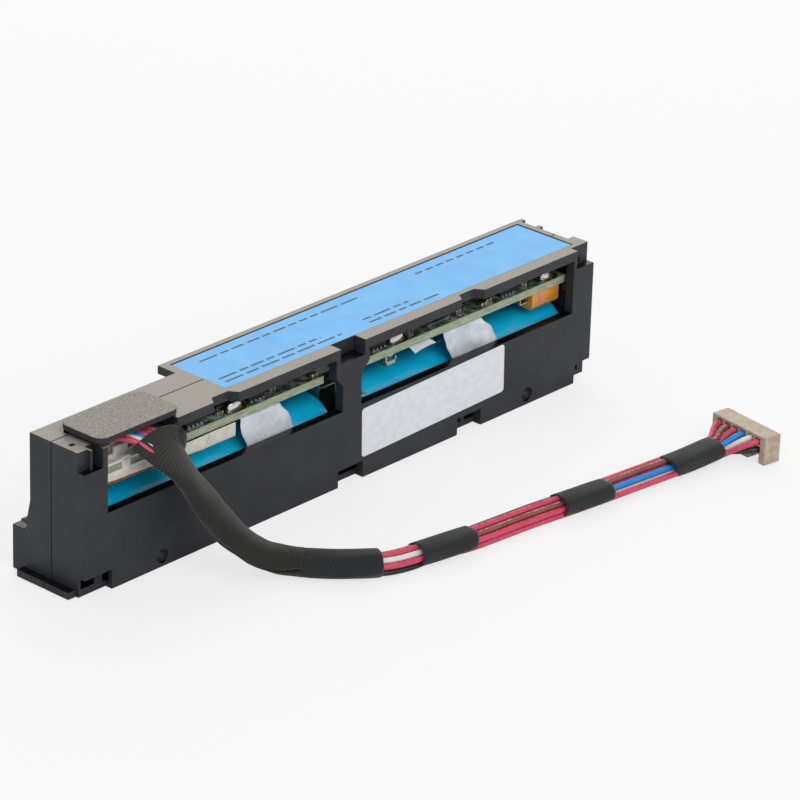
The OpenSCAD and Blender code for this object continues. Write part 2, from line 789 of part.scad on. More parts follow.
// One ring of a tube: n points, w wide and t thick, round c
function ring(c, h, w, t, n) = [
    for (i = [0 : n - 1]) let (a = 360 * (i + 0.5) / n)
        c + across(h) * w / 2 * cos(a) + over(h) * t / 2 * sin(a)
];

// A closed tube through rings of n points each
module tube(rings, n) {
    k = len(rings);
    polyhedron(
        points = [for (r = rings) each r],
        faces = concat(
            [[for (i = [n - 1 : -1 : 0]) i]],
            [for (j = [0 : k - 2], i = [0 : n - 1])
                [j * n + i, j * n + (i + 1) % n, (j + 1) * n + (i + 1) % n, (j + 1) * n + i]],
            [[for (i = [0 : n - 1]) (k - 1) * n + i]]
        )
    );
}

// The stretch of the cable from place u0 to u1, whose width and thickness go from a to b
module stretch(u0, u1, a, b, steps, n) {
    tube([
        for (i = [0 : steps]) let (k = i / steps, u = u0 + (u1 - u0) * k, s = a + (b - a) * k)
            ring(on_curve(ROUTE, u), heading(ROUTE, u), s.x, s.y, n)
    ], n);
}

module cable_sleeve() {
    color("#1d1d1f") at_case() tube([
        for (i = [0 : 16]) let (u = mouth_u + (wrap_u - mouth_u) * i / 16,
            s = u < knee_u ? mouth + (knee - mouth) * (u - mouth_u) / (knee_u - mouth_u)
                : knee + ([wrap_d, wrap_d] - knee) * (u - knee_u) / (wrap_u - knee_u))
            ring(on_curve(ROUTE, u), heading(ROUTE, u), s.x, s.y, 12)
    ], 12);
}

module sleeve_wrap() {
    color("#19191b") at_case() stretch(wrap_u, sleeve_end_u, [wrap_d, wrap_d], [wrap_d, wrap_d], 3, 12);
}

module tape_band(i) {
    color("#1c1c1d") at_case()
        stretch(bands_u[i][0], bands_u[i][1], [band_d, band_d], [band_d, band_d], 2, 12);
}

module tape_band_1() {
    tape_band(0);
}

module tape_band_2() {
    tape_band(1);
}

module tape_band_3() {
    tape_band(2);
}

// The wires as one bundle, in stretches that end at the sleeve and at each band
module wire_bundle() {
    color("#d8647c") at_case() {
        stretch(0, mouth_u, plug_end, flat_end, 4, 8);
        stretch(sleeve_end_u, bands_u[0][0], bundle, bundle, 2, 8);
        stretch(bands_u[0][1], bands_u[1][0], bundle, bundle, 3, 8);
        stretch(bands_u[1][1], bands_u[2][0], bundle, bundle, 2, 8);
    }
}

function turned(v) = [
    v.x * cos(connector_turn) - v.y * sin(connector_turn),
    v.x * sin(connector_turn) + v.y * cos(connector_turn), v.z
];
function column_y(i) = ((columns - 1) / 2 - i) * contact_pitch;
function cavity_at(w, x) = CONNECTOR_AT + turned([x, column_y(w[2]), row_z[w[3]]]);
function bend(a, b, c, d, t) = a * pow(1 - t, 3) + b * 3 * t * pow(1 - t, 2)
    + c * 3 * t * t * (1 - t) + d * pow(t, 3);
function bend_heading(a, b, c, d, t) = unit((b - a) * pow(1 - t, 2)
    + (c - b) * 2 * t * (1 - t) + (d - c) * t * t);

// The wires' ends, which spread from the bundle to their cavities in the connector
module wire_fan() {
    end_u = bands_u[2][1];
    h = heading(ROUTE, end_u);
    reach = 1.9;
    color("#d8647c") at_case() for (w = WIRES) {
        a = on_curve(ROUTE, end_u) + across(h) * w[0] + over(h) * w[1];
        d = cavity_at(w, -0.3);
        b = a + h * reach;
        c = cavity_at(w, -0.3 - reach);
        curved = [for (t = [0, 0.33, 0.67, 1])
            ring(bend(a, b, c, d, t), bend_heading(a, b, c, d, t), wire_d, wire_d, 8)];
        tube(concat(curved, [ring(cavity_at(w, wire_in), turned([1, 0, 0]), wire_d, wire_d, 8)]), 8);
    }
}

module cable_connector() {
    notch = [3.1, 1.9];
    notch_y = -connector_l / 2 + 1.7;
    color("#cdbfae") at_case() translate(CONNECTOR_AT) rotate([0, 0, connector_turn]) difference() {
        translate([0, -connector_l / 2, 0]) cube([connector_d, connector_l, connector_h]);
        for (i = [0 : columns - 1], z = row_z)
            translate([-1, column_y(i) - cavity_w / 2, z - cavity_w / 2])
                cube([3.4, cavity_w, cavity_w]);
        translate([-1, notch_y, -1]) cube([connector_d + 2, notch.x, notch.y + 1]);
    }
}

// Crimped contacts behind the wires' ends
module connector_contacts() {
    w = cavity_w - 0.2;
    color("#d9b45a") at_case() for (p = WIRES)
        translate(CONNECTOR_AT) rotate([0, 0, connector_turn])
            translate([wire_in + 0.02, column_y(p[2]) - w / 2, row_z[p[3]] - w / 2])
                cube([1.5, w, w]);
}

front_shell();
back_shell();
cable_lid();
left_cell();
right_cell();
left_cell_sleeve();
right_cell_sleeve();
end_insulators();
left_end_tab();
series_tab();
right_end_tab();
circuit_board();
board_header();
harness_plug();
gauge_chip();
power_transistors();
sense_resistor();
chip_capacitors();
chip_resistors();
solder_lugs();
contact_clip();
thermal_cutoff();
cutoff_leads();
insulator_strip();
edge_tape();
left_tape();
right_tape();
top_label();
side_label();
cable_sleeve();
sleeve_wrap();
tape_band_1();
tape_band_2();
tape_band_3();
wire_bundle();
wire_fan();
cable_connector();
connector_contacts();
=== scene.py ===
# Battery module of a storage controller, dressed around its CAD frame
import math
import random
import bpy
import bmesh
from mathutils import Matrix, Vector, noise


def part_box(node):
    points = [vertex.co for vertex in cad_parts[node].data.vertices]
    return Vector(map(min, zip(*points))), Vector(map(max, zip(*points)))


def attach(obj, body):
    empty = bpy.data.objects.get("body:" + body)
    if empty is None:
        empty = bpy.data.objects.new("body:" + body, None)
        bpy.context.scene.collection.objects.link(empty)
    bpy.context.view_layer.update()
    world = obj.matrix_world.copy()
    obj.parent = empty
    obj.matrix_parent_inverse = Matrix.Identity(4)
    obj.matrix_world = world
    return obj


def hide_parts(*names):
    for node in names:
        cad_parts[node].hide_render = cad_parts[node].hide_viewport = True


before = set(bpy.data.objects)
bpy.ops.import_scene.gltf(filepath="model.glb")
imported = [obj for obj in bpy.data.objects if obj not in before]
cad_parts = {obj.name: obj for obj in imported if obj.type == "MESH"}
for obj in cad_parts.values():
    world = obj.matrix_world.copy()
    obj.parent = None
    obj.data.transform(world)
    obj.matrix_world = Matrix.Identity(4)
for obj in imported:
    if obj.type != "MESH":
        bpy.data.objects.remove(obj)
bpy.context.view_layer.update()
print("frame loaded:", len(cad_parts), "nodes")

mm = 0.001
caseLow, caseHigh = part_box("front_shell")
tongueLength = 2 * mm
# The case's front left bottom corner, from which the cable's points are counted
corner = Vector((caseLow.x + tongueLength, caseLow.y, 0))
caseRight = (caseHigh.x - corner.x) / mm


def fromCorner(x, y, z):
    return corner + Vector((x, y, z)) * mm


# Camera

cameraSettings = {
    "place": (-0.61312, -0.57084, 0.40149),  # metres
    "heading": 48.23,  # degrees, from +Y towards +X
    "down": 24.73,  # degrees under the horizon
    "roll": 1.70,  # degrees
    "lens": 210.1,  # mm, on a sensor 36 mm wide
}


def makeCamera(settings):
    data = bpy.data.cameras.new("camera")
    data.lens = settings["lens"]
    data.sensor_width = 36
    data.clip_start, data.clip_end = 0.05, 20
    camera = bpy.data.objects.new("camera", data)
    turn = Matrix.Rotation(-math.radians(settings["heading"]), 4, "Z")
    tilt = Matrix.Rotation(math.radians(90 - settings["down"]), 4, "X")
    roll = Matrix.Rotation(math.radians(settings["roll"]), 4, "Z")
    camera.matrix_world = Matrix.Translation(settings["place"]) @ turn @ tilt @ roll
    bpy.context.scene.collection.objects.link(camera)
    bpy.context.scene.camera = camera


makeCamera(cameraSettings)
print("camera set")


# Helpers for colours, nodes and pieces

def hexColour(code):
    parts = [int(code[i:i + 2], 16) / 255 for i in (0, 2, 4)]
    linear = [c / 12.92 if c <= 0.04045 else ((c + 0.055) / 1.055) ** 2.4 for c in parts]
    return (*linear, 1)


def addNode(tree, kind, inputs=None, **settings):
    made = tree.nodes.new(kind)
    for name, value in settings.items():
        setattr(made, name, value)
    for name, value in (inputs or {}).items():
        if isinstance(value, bpy.types.NodeSocket):
            tree.links.new(value, made.inputs[name])
        else:
            made.inputs[name].default_value = value
    return made


def newMaterial(name, colour, roughness, metallic=0.0, ior=1.5):
    material = bpy.data.materials.new(name)
    material.use_nodes = True
    tree = material.node_tree
    tree.nodes.clear()
    shader = addNode(tree, "ShaderNodeBsdfPrincipled", {
        "Base Color": hexColour(colour), "Roughness": roughness, "Metallic": metallic, "IOR": ior})
    place = addNode(tree, "ShaderNodeTexCoord")
    addNode(tree, "ShaderNodeOutputMaterial", {"Surface": shader.outputs[0]})
    return material, tree, shader, place


def speckle(tree, place, sizeMm, detail=3.0, rough=0.6):
    # Noise whose blobs are about sizeMm across
    return addNode(tree, "ShaderNodeTexNoise", {
        "Vector": place, "Scale": 1 / (sizeMm * mm), "Detail": detail, "Roughness": rough})


def mixColours(tree, factor, first, second, blend="MIX"):
    made = addNode(tree, "ShaderNodeMix", {0: factor}, data_type="RGBA", blend_type=blend)
    for index, value in ((6, first), (7, second)):
        if isinstance(value, bpy.types.NodeSocket):
            tree.links.new(value, made.inputs[index])
        else:
            made.inputs[index].default_value = hexColour(value)
    return made.outputs[2]


def remap(tree, value, low, high, toLow=0.0, toHigh=1.0):
    return addNode(tree, "ShaderNodeMapRange", {
        "Value": value, "From Min": low, "From Max": high, "To Min": toLow, "To Max": toHigh}).outputs[0]


def bump(tree, shader, height, depthMm, strength=1.0):
    made = addNode(tree, "ShaderNodeBump", {
        "Height": height, "Strength": strength, "Distance": depthMm * mm})
    tree.links.new(made.outputs[0], shader.inputs["Normal"])


def placePiece(name, data, material, replaced=()):
    piece = bpy.data.objects.new(name, data)
    bpy.context.scene.collection.objects.link(piece)
    data.materials.clear()
    data.materials.append(material)
    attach(piece, "root")
    if replaced:
        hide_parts(*replaced)
    return piece


def meshPiece(name, mesh, material, replaced=(), smooth=True):
    data = bpy.data.meshes.new(name)
    mesh.to_mesh(data)
    mesh.free()
    if smooth:
        data.shade_smooth()
    return placePiece(name, data, material, replaced)


def bevelMesh(mesh, widthMm, segments=2, sharp=30):
    edges = [e for e in mesh.edges
             if len(e.link_faces) == 2 and e.calc_face_angle() > math.radians(sharp)]
    bmesh.ops.bevel(mesh, geom=edges, offset=widthMm * mm, segments=segments, profile=0.5,
                    affect="EDGES", material=-1, clamp_overlap=True)


def addBox(mesh, low, high):
    # A box between two corners, in metres
    made = bmesh.ops.create_cube(mesh, size=1)["verts"]
    size = Vector(high) - Vector(low)
    bmesh.ops.scale(mesh, vec=size, verts=made)
    bmesh.ops.translate(mesh, vec=(Vector(low) + Vector(high)) / 2, verts=made)
    return made


def nodeCopy(node):
    # A CAD node's mesh with its loose triangles joined
    mesh = bmesh.new()
    mesh.from_mesh(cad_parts[node].data)
    bmesh.ops.remove_doubles(mesh, verts=mesh.verts, dist=2e-6)
    bmesh.ops.dissolve_limit(mesh, angle_limit=math.radians(0.5), verts=mesh.verts,
                             edges=mesh.edges)
    return mesh


def breakEdges(piece, widthMm):
    edge = piece.modifiers.new("brokenEdges", "BEVEL")
    edge.width, edge.segments = widthMm * mm, 2
    edge.limit_method, edge.angle_limit = "ANGLE", math.radians(32)
    edge.use_clamp_overlap = False
    even = piece.modifiers.new("evenNormals", "WEIGHTED_NORMAL")
    even.keep_sharp = True


def softenedNode(node, name, material, widthMm):
    # Stands for a moulded CAD piece: the same solid with its edges just broken
    piece = meshPiece(name, nodeCopy(node), material, [node])
    breakEdges(piece, widthMm)
    return piece


def thicken(piece, wallMm, offset=-1):
    # Gives a sheet its thickness: inwards, or to both sides with an offset of 0
    wall = piece.modifiers.new("sheetThickness", "SOLIDIFY")
    wall.thickness, wall.offset = wallMm * mm, offset


def onlyVerts(made):
    return [v for v in made if isinstance(v, bmesh.types.BMVert)]


# Materials

def makeMouldedPlastic(name, settings):
    # ABS with a spark-eroded grain: dark on the walls; where it faces up, a grainy painted highlight
    # near the top and glossier painted shade lower down
    material, tree, shader, place = newMaterial(name, settings["colour"], settings["roughness"])
    shader.inputs["Specular IOR Level"].default_value = settings["specular"]
    grain = speckle(tree, place.outputs["Object"], settings["grainMm"], 2.0, 0.7)
    clouds = speckle(tree, place.outputs["Object"], 9)
    walls = mixColours(tree, remap(tree, clouds.outputs[0], 0.35, 0.7),
                       settings["colour"], settings["paler"])
    up = addNode(tree, "ShaderNodeSeparateXYZ", {0: place.outputs["Normal"]}).outputs[2]
    height = addNode(tree, "ShaderNodeSeparateXYZ", {0: place.outputs["Object"]}).outputs[2]
    facing = remap(tree, up, 0.55, 0.95)
    high = remap(tree, height, 29.2 * mm, 29.6 * mm)
    # Painted highlight: faces that look up near the top are drawn pale, standing in for glare off the
    # grain
    paintedHighlight = mixColours(tree, remap(tree, grain.outputs[0], 0.36, 0.64),
                      settings["paintedHighlightDark"], settings["paintedHighlightPale"])
    # Painted shade: faces that look up lower down, on sills and in notches, are drawn near black
    level = mixColours(tree, high, settings["paintedLedgeShade"], paintedHighlight)
    tree.links.new(mixColours(tree, facing, walls, level), shader.inputs["Base Color"])
    shine = addNode(tree, "ShaderNodeMath", {0: facing, 1: high}, operation="SUBTRACT")
    tree.links.new(remap(tree, shine.outputs[0], 0, 1, settings["roughness"], 0.28),
                   shader.inputs["Roughness"])
    bump(tree, shader, grain.outputs[0], settings["depthMm"], 0.5)
    return material


# The two pale colours are a painted highlight on the top faces; the ledge colour is painted shade on
# lower faces that look up
casePlastic = makeMouldedPlastic("sparkErodedAbs", {
    "colour": "2A2B2F", "paler": "35363B", "paintedHighlightDark": "8C857A", "paintedHighlightPale": "B3ACA0",
    "paintedLedgeShade": "0C0C0E", "roughness": 0.5, "specular": 0.4, "grainMm": 0.2, "depthMm": 0.02})
lidPlastic = makeMouldedPlastic("coarseAbs", {
    "colour": "222225", "paler": "2C2C30", "paintedHighlightDark": "716C63", "paintedHighlightPale": "A8A296",
    "paintedLedgeShade": "0C0C0E", "roughness": 0.55, "specular": 0.4, "grainMm": 0.32, "depthMm": 0.03})


def makeShrinkFilm():
    # Shrunk PVC film over a can: glossy, with faint draw lines round the can
    material, tree, shader, place = newMaterial("shrunkPvcFilm", "00CCFF", 0.22, ior=1.53)
    lines = addNode(tree, "ShaderNodeMapping", {
        "Vector": place.outputs["Object"], "Scale": (900, 60, 60)})
    draw = addNode(tree, "ShaderNodeTexNoise", {
        "Vector": lines.outputs[0], "Scale": 1.0, "Detail": 2.0})
    clouds = speckle(tree, place.outputs["Object"], 14)
    tint = mixColours(tree, remap(tree, clouds.outputs[0], 0.3, 0.7), "00C4FA", "1CD2FF")
    tree.links.new(tint, shader.inputs["Base Color"])
    bump(tree, shader, draw.outputs[0], 0.02, 0.3)
    shader.inputs["Coat Weight"].default_value = 0.4
    shader.inputs["Coat Roughness"].default_value = 0.08
    return material


def makeNickel(name, colour, roughness):
    # Rolled nickel strip: a satin metal with faint lengthwise rolling lines
    material, tree, shader, place = newMaterial(name, colour, roughness, 1.0)
    stretch = addNode(tree, "ShaderNodeMapping", {
        "Vector": place.outputs["Object"], "Scale": (2500, 2500, 120)})
    lines = addNode(tree, "ShaderNodeTexNoise", {"Vector": stretch.outputs[0], "Scale": 1.0})
    tree.links.new(remap(tree, lines.outputs[0], 0.3, 0.7, roughness - 0.08, roughness + 0.12),
                   shader.inputs["Roughness"])
    bump(tree, shader, lines.outputs[0], 0.01, 0.3)
    return material


def makeLaminate():
    # Glass-epoxy board: green solder mask on its faces and a paler sawn edge
    material, tree, shader, place = newMaterial("glassEpoxyBoard", "3F6650", 0.38)
    up = addNode(tree, "ShaderNodeSeparateXYZ", {0: place.outputs["Normal"]}).outputs[2]
    flat = remap(tree, addNode(tree, "ShaderNodeMath", {0: up}, operation="ABSOLUTE").outputs[0],
                 0.4, 0.6)
    blotch = speckle(tree, place.outputs["Object"], 2.2, 4)
    mask = mixColours(tree, remap(tree, blotch.outputs[0], 0.42, 0.6), "3C5A48", "A3AFA2")
    fibres = addNode(tree, "ShaderNodeMapping", {
        "Vector": place.outputs["Object"], "Scale": (500, 500, 5000)})
    layers = addNode(tree, "ShaderNodeTexNoise", {"Vector": fibres.outputs[0], "Scale": 1.0})
    edge = mixColours(tree, remap(tree, layers.outputs[0], 0.35, 0.65), "8E9C7E", "B4BEA0")
    tree.links.new(mixColours(tree, flat, edge, mask), shader.inputs["Base Color"])
    bump(tree, shader, blotch.outputs[0], 0.02, 0.2)
    return material


def makeMoulded(name, dark, pale, roughness, grainMm=0.5, subsurface=0.0):
    # Unfilled nylon and epoxy mouldings: smooth, with a slight cloudiness
    material, tree, shader, place = newMaterial(name, pale, roughness)
    clouds = speckle(tree, place.outputs["Object"], 1.6)
    tree.links.new(mixColours(tree, remap(tree, clouds.outputs[0], 0.35, 0.7), dark, pale),
                   shader.inputs["Base Color"])
    if subsurface:
        shader.inputs["Subsurface Weight"].default_value = subsurface
        shader.inputs["Subsurface Radius"].default_value = (0.0008, 0.0006, 0.0004)
    bump(tree, shader, speckle(tree, place.outputs["Object"], grainMm).outputs[0], 0.02, 0.25)
    return material


def makeSolder():
    # Reflowed tin alloy: bright and slightly dimpled
    material, tree, shader, place = newMaterial("reflowedSolder", "E4E5E4", 0.16, 1.0)
    bump(tree, shader, speckle(tree, place.outputs["Object"], 0.5).outputs[0], 0.06, 0.6)
    return material


def makeFilm(name, dark, pale, roughness, alpha, wrinkleMm, wrinkleDepth):
    # Thin adhesive film: glossy, with soft wrinkles and trapped air
    material, tree, shader, place = newMaterial(name, pale, roughness)
    wrinkles = speckle(tree, place.outputs["Object"], wrinkleMm, 4, 0.55)
    tree.links.new(mixColours(tree, remap(tree, wrinkles.outputs[0], 0.3, 0.7), dark, pale),
                   shader.inputs["Base Color"])
    if alpha < 1:
        tree.links.new(remap(tree, wrinkles.outputs[0], 0.25, 0.75, alpha - 0.15, alpha + 0.15),
                       shader.inputs["Alpha"])
    bump(tree, shader, wrinkles.outputs[0], wrinkleDepth, 0.8)
    shader.inputs["Coat Weight"].default_value = 0.5
    shader.inputs["Coat Roughness"].default_value = 0.1
    return material


def makeWeave(name, settings):
    # Woven yarn: ribs along and across the piece, on its own UV map, which is in metres
    material, tree, shader, place = newMaterial(name, settings["colour"], 0.85)
    turned = addNode(tree, "ShaderNodeMapping", {
        "Vector": place.outputs["UV"], "Rotation": (0, 0, math.radians(settings["turn"]))})
    bands = []
    for direction, spacing in (("X", settings["acrossMm"]), ("Y", settings["alongMm"])):
        # One period of the wave texture is 2 pi / 20 of its scaled units
        scale = 2 * math.pi / 20 / (spacing * mm)
        bands.append(addNode(tree, "ShaderNodeTexWave", {
            "Vector": turned.outputs[0], "Scale": scale, "Distortion": settings["wobble"],
            "Detail": 1.0, "Detail Scale": 0.15}, bands_direction=direction).outputs["Fac"])
    weave = addNode(tree, "ShaderNodeMath", {0: bands[0], 1: bands[1]}, operation="MULTIPLY")
    fuzz = speckle(tree, place.outputs["Object"], 0.5)
    height = addNode(tree, "ShaderNodeMath", {0: fuzz.outputs[0], 1: weave.outputs[0]},
                     operation="MULTIPLY_ADD")
    height.inputs[2].default_value = 0.1
    thread = mixColours(tree, remap(tree, height.outputs[0], 0.1, 0.5),
                        settings["colour"], settings["highlight"])
    tree.links.new(thread, shader.inputs["Base Color"])
    shader.inputs["Sheen Weight"].default_value = 0.25
    shader.inputs["Sheen Roughness"].default_value = 0.5
    bump(tree, shader, height.outputs[0], settings["depthMm"], 0.9)
    return material


def makeJacket(name, colour, shade):
    # Extruded PVC wire insulation: soft gloss, a little uneven
    material, tree, shader, place = newMaterial(name, colour, 0.36, ior=1.53)
    clouds = speckle(tree, place.outputs["Object"], 3)
    tree.links.new(mixColours(tree, remap(tree, clouds.outputs[0], 0.3, 0.7), shade, colour),
                   shader.inputs["Base Color"])
    bump(tree, shader, clouds.outputs[0], 0.03, 0.3)
    return material


shrinkFilm = makeShrinkFilm()
nickel = makeNickel("rolledNickel", "C9C5B8", 0.32)
canSteel = makeNickel("nickelPlatedSteel", "BFC1C2", 0.25)
laminate = makeLaminate()
whiteNylon = makeMoulded("whiteNylon", "DAD8D0", "F1EFEA", 0.42, subsurface=0.1)
beigeNylon = makeMoulded("beigeNylon", "B09A86", "CDBBA6", 0.45, subsurface=0.1)
plugNylon = makeMoulded("fadedNylon", "8F7567", "B59C8A", 0.45, subsurface=0.1)
chipEpoxy = makeMoulded("mouldedEpoxy", "141416", "232326", 0.55, 0.25)
capCeramic = makeMoulded("firedCeramic", "6E4A2E", "A07650", 0.4, 0.3)
shuntAlloy = makeMoulded("resistanceAlloy", "53565A", "7B7F84", 0.35, 0.3)
insulatingCard = makeMoulded("insulatingCard", "D6D1C2", "E9E5DA", 0.7, 0.4)
solder = makeSolder()
amberTape = makeFilm("polyimideTape", "C9761A", "F0A93C", 0.25, 1, 2.5, 0.12)
edgeFilm = makeFilm("brownEdgeTape", "6E3A1C", "B0703C", 0.3, 1, 2.0, 0.08)
milkyTape = makeFilm("milkyTape", "C3CEDA", "F3F6FA", 0.3, 1, 3.0, 0.25)
print("materials ready")


# Cable: sleeve, bands and wires

cableSettings = {
    "wire": 1.2,  # mm across a wire
    "plugX": 9.65, "plugPitch": 1.43, "plugY": 6.4, "plugZ": 27.1,  # the plug's row of wires
    "flatPitch": 1.3,  # between wires in the flat layer under the lid
    "connectorAt": (139, -45, 0), "connectorTurn": -8.6,
    "columns": 6, "pitch": 2.25, "rowZ": (4.7, 2.9), "wireIn": 0.8,
    "bend": 2.0,  # radius of a wire's turn over the plug
    "squeeze": 0.16,  # share by which the wires are pressed together in the sleeve
    "shifts": ((16, 18, 1), (21, 23, 2)),  # u from and to of a band, and the span after it
}
# Points of the cable's route, mm from the case's front left bottom corner
route = [Vector(p) for p in (
    (13.4, 6.2, 28.1), (13.5, 5.5, 29.1), (13.9, 3.2, 29.5), (14.9, 0.6, 29.3),
    (16.6, -1.5, 28.2), (18.7, -3.1, 25), (21, -4.5, 21.3), (23, -6.4, 17.4), (24.9, -9.3, 13),
    (27, -12.4, 9), (30, -15, 5.6), (33.5, -17.6, 3.5), (36.8, -21.4, 2.9), (41.2, -26.7, 2.8),
    (46.8, -31.4, 2.8), (51.4, -32.9, 2.5), (55.4, -33.7, 2.5), (61.4, -34.9, 2.5),
    (67.4, -36, 2.5), (76, -36.9, 2.5), (84, -37.7, 2.5), (91.2, -38.8, 2.5), (96.8, -39.8, 2.5),
    (102.5, -40.7, 2.5), (111.5, -41.7, 2.5), (120.3, -42.7, 2.5), (126.9, -43.3, 2.5),
    (133.3, -43.6, 2.5))]
routeEnd = len(route) - 1
# Each wire: its number in the plug, its cavity, and its place in the three open spans
wires = {
    "wireRedA": {"plug": 5, "cavity": (0, 0), "spans": ((1.2, 0.55), (1.2, 0.55), (2.07, -0.5))},
    "wireBrown": {"plug": 4, "cavity": (1, 0), "spans": ((1.75, -0.55), (-0.04, 0.6), (1.24, 0.45))},
    "wireRedB": {"plug": 3, "cavity": (2, 0), "spans": ((-1.28, 0.5), (-1.28, 0.5), (0.41, -0.5))},
    "wireBlue": {"plug": 2, "cavity": (3, 0), "spans": ((0.5, -0.6), (-0.75, -0.65), (-0.41, 0.45))},
    "wireWhite": {"plug": 1, "cavity": (4, 0), "spans": ((-0.04, 0.6), (0.5, -0.6), (-1.24, -0.5))},
    "wireRedC": {"plug": 0, "cavity": (5, 0), "spans": ((-0.75, -0.65), (-2.0, -0.6), (-2.07, 0.45))},
    "wireBlack": {"plug": 6, "cavity": (5, 1), "spans": ((-2.0, -0.6), (1.75, -0.55), (-0.42, -1.45))},
}


def onCurve(points, u):
    # The same smooth curve through the points that the CAD cable follows
    last = len(points) - 1
    i = min(int(math.floor(u)), last - 1)
    t = u - i
    a, b, c, d = points[max(i - 1, 0)], points[i], points[i + 1], points[min(i + 2, last)]
    return 0.5 * (2 * b + (c - a) * t + (2 * a - 5 * b + 4 * c - d) * t * t
                  + (3 * b - a - 3 * c + d) * t ** 3)


def routeFrame(u):
    # Centre, heading, level direction across and the one square to both
    step = 0.02
    heading = (onCurve(route, min(u + step, routeEnd)) - onCurve(route, max(u - step, 0))).normalized()
    across = Vector((-heading.y, heading.x, 0)).normalized()
    return onCurve(route, u), heading, across, heading.cross(across)


def smooth(t):
    t = min(max(t, 0), 1)
    return t * t * (3 - 2 * t)


def fromTable(table, u):
    # Values between the rows of a table of (u, value, value ...)
    if u <= table[0][0]:
        return table[0][1:]
    for low, high in zip(table, table[1:]):
        if u <= high[0]:
            t = (u - low[0]) / (high[0] - low[0])
            return tuple(a + (b - a) * t for a, b in zip(low[1:], high[1:]))
    return table[-1][1:]


def shapedSheet(along, around, place, closed=True, capped=True):
    # A grid laid on a surface, with its UV map in metres; closed joins its long edges
    mesh = bmesh.new()
    bmesh.ops.create_grid(mesh, x_segments=along, y_segments=around, size=0.5)
    uvMap = mesh.loops.layers.uv.new("UVMap")
    rings = [[place(i / along, j / around) for j in range(around + 1)] for i in range(along + 1)]
    middles = [sum(ring, Vector()) / len(ring) for ring in rings]
    runs, girths = [0.0], []
    for a, b in zip(middles, middles[1:]):
        runs.append(runs[-1] + (b - a).length)
    for ring in rings:
        girth = [0.0]
        for a, b in zip(ring, ring[1:]):
            girth.append(girth[-1] + (b - a).length)
        girths.append(girth)
    spots = {v: (round((v.co.x + 0.5) * along), round((v.co.y + 0.5) * around)) for v in mesh.verts}
    for face in mesh.faces:
        for loop in face.loops:
            i, j = spots[loop.vert]
            loop[uvMap].uv = (runs[i], girths[i][j])
    for vert, (i, j) in spots.items():
        vert.co = rings[i][j]
    bmesh.ops.remove_doubles(mesh, verts=mesh.verts, dist=1e-6)
    if closed and capped:
        rims = [e for e in mesh.edges if e.is_boundary]
        bmesh.ops.holes_fill(mesh, edges=rims, sides=0)
    bmesh.ops.recalc_face_normals(mesh, faces=mesh.faces)
    return mesh


def bent(a, b, c, d, t):
    return a * (1 - t) ** 3 + b * 3 * t * (1 - t) ** 2 + c * 3 * t * t * (1 - t) + d * t ** 3


def cavityAt(column, row, x):
    settings = cableSettings
    turn = Matrix.Rotation(math.radians(settings["connectorTurn"]), 3, "Z")
    across = ((settings["columns"] - 1) / 2 - column) * settings["pitch"]
    spot = Vector((x, across, settings["rowZ"][row]))
    return Vector(settings["connectorAt"]) + turn @ spot


sleeveSettings = {
    "from": 4, "run": 8,  # u where it starts, and how far it goes
    # u along the route, then width, upper and lower half height in mm, exponent and lean
    "sizes": ((4, 13.4, 1.9, 1.5, 1.6, 1.5), (5, 11.6, 1.9, 1.6, 1.9, 1.0),
              (6, 10.2, 2.0, 1.8, 2.2, 0.5), (7, 8.9, 2.2, 2.1, 2.4, 0),
              (8, 7.8, 2.35, 2.35, 2.5, 0), (10, 6.9, 2.6, 2.6, 2.5, 0), (12, 5.9, 2.7, 2.7, 2.3, 0)),
    "mouthShift": (1.1, 0.6, -0.2), "mouthFlat": (1, 0.06, -0.03), "mouthUp": (0.1, 0.3, 0.95),
    "slit": ((7.2, 262, 0.0), (8.2, 250, 0.8), (10, 222, 1.0), (11.6, 190, 1.0), (12, 186, 0.7)),
    "wall": 0.35,
}


def roundedSection(angle, width, up, down, power):
    c, s = math.cos(angle), math.sin(angle)
    return (width / 2 * math.copysign(abs(c) ** (2 / power), c),
            (up if s > 0 else down) * math.copysign(abs(s) ** (2 / power), s))


def sleeveFrame(u):
    # The cable's own frame, turned level at the sleeve's mouth
    settings = sleeveSettings
    centre, heading, across, over = routeFrame(u)
    k = smooth((u - 4) / 3)
    centre = centre + Vector(settings["mouthShift"]) * (1 - k)
    flat = Vector(settings["mouthFlat"]).lerp(across, k).normalized()
    up = Vector(settings["mouthUp"]).lerp(over, k).normalized()
    return centre, flat, up


def sleevePoint(s, t, proud=0.0):
    settings = sleeveSettings
    u = settings["from"] + settings["run"] * s
    centre, flat, up = sleeveFrame(u)
    width, high, low, power, lean = fromTable(settings["sizes"], u)
    angle = 2 * math.pi * t
    x, z = roundedSection(angle, width, high, low, power)
    x += lean * max(math.sin(angle), 0)
    slitAngle, depth = fromTable(settings["slit"], u)
    off = (math.degrees(angle) - slitAngle + 180) % 360 - 180
    reach = off * math.pi / 180 * (width / 2 + high) / 2
    # A deep slit, with the sheet's upper edge standing proud of it
    sink = depth * math.exp(-(reach / 0.2) ** 2)
    lip = 0.35 * depth * math.exp(-((reach + 0.6) / 0.4) ** 2)
    ripple = 0.1 * noise.noise(Vector((s * 14, t * 5, 3.1))) * min(1, abs(s) * 6)
    grow = 1 - (sink - lip + ripple - proud) / max(math.hypot(x, z), 0.5)
    spot = centre + flat * x * grow + up * z * grow
    return fromCorner(spot.x, spot.y, max(spot.z, 0.1))


def spanPlace(across, up):
    # The places are drawn in a section that leans back by 40 degrees
    return 0.766 * across - 0.643 * up, 0.643 * across + 0.766 * up


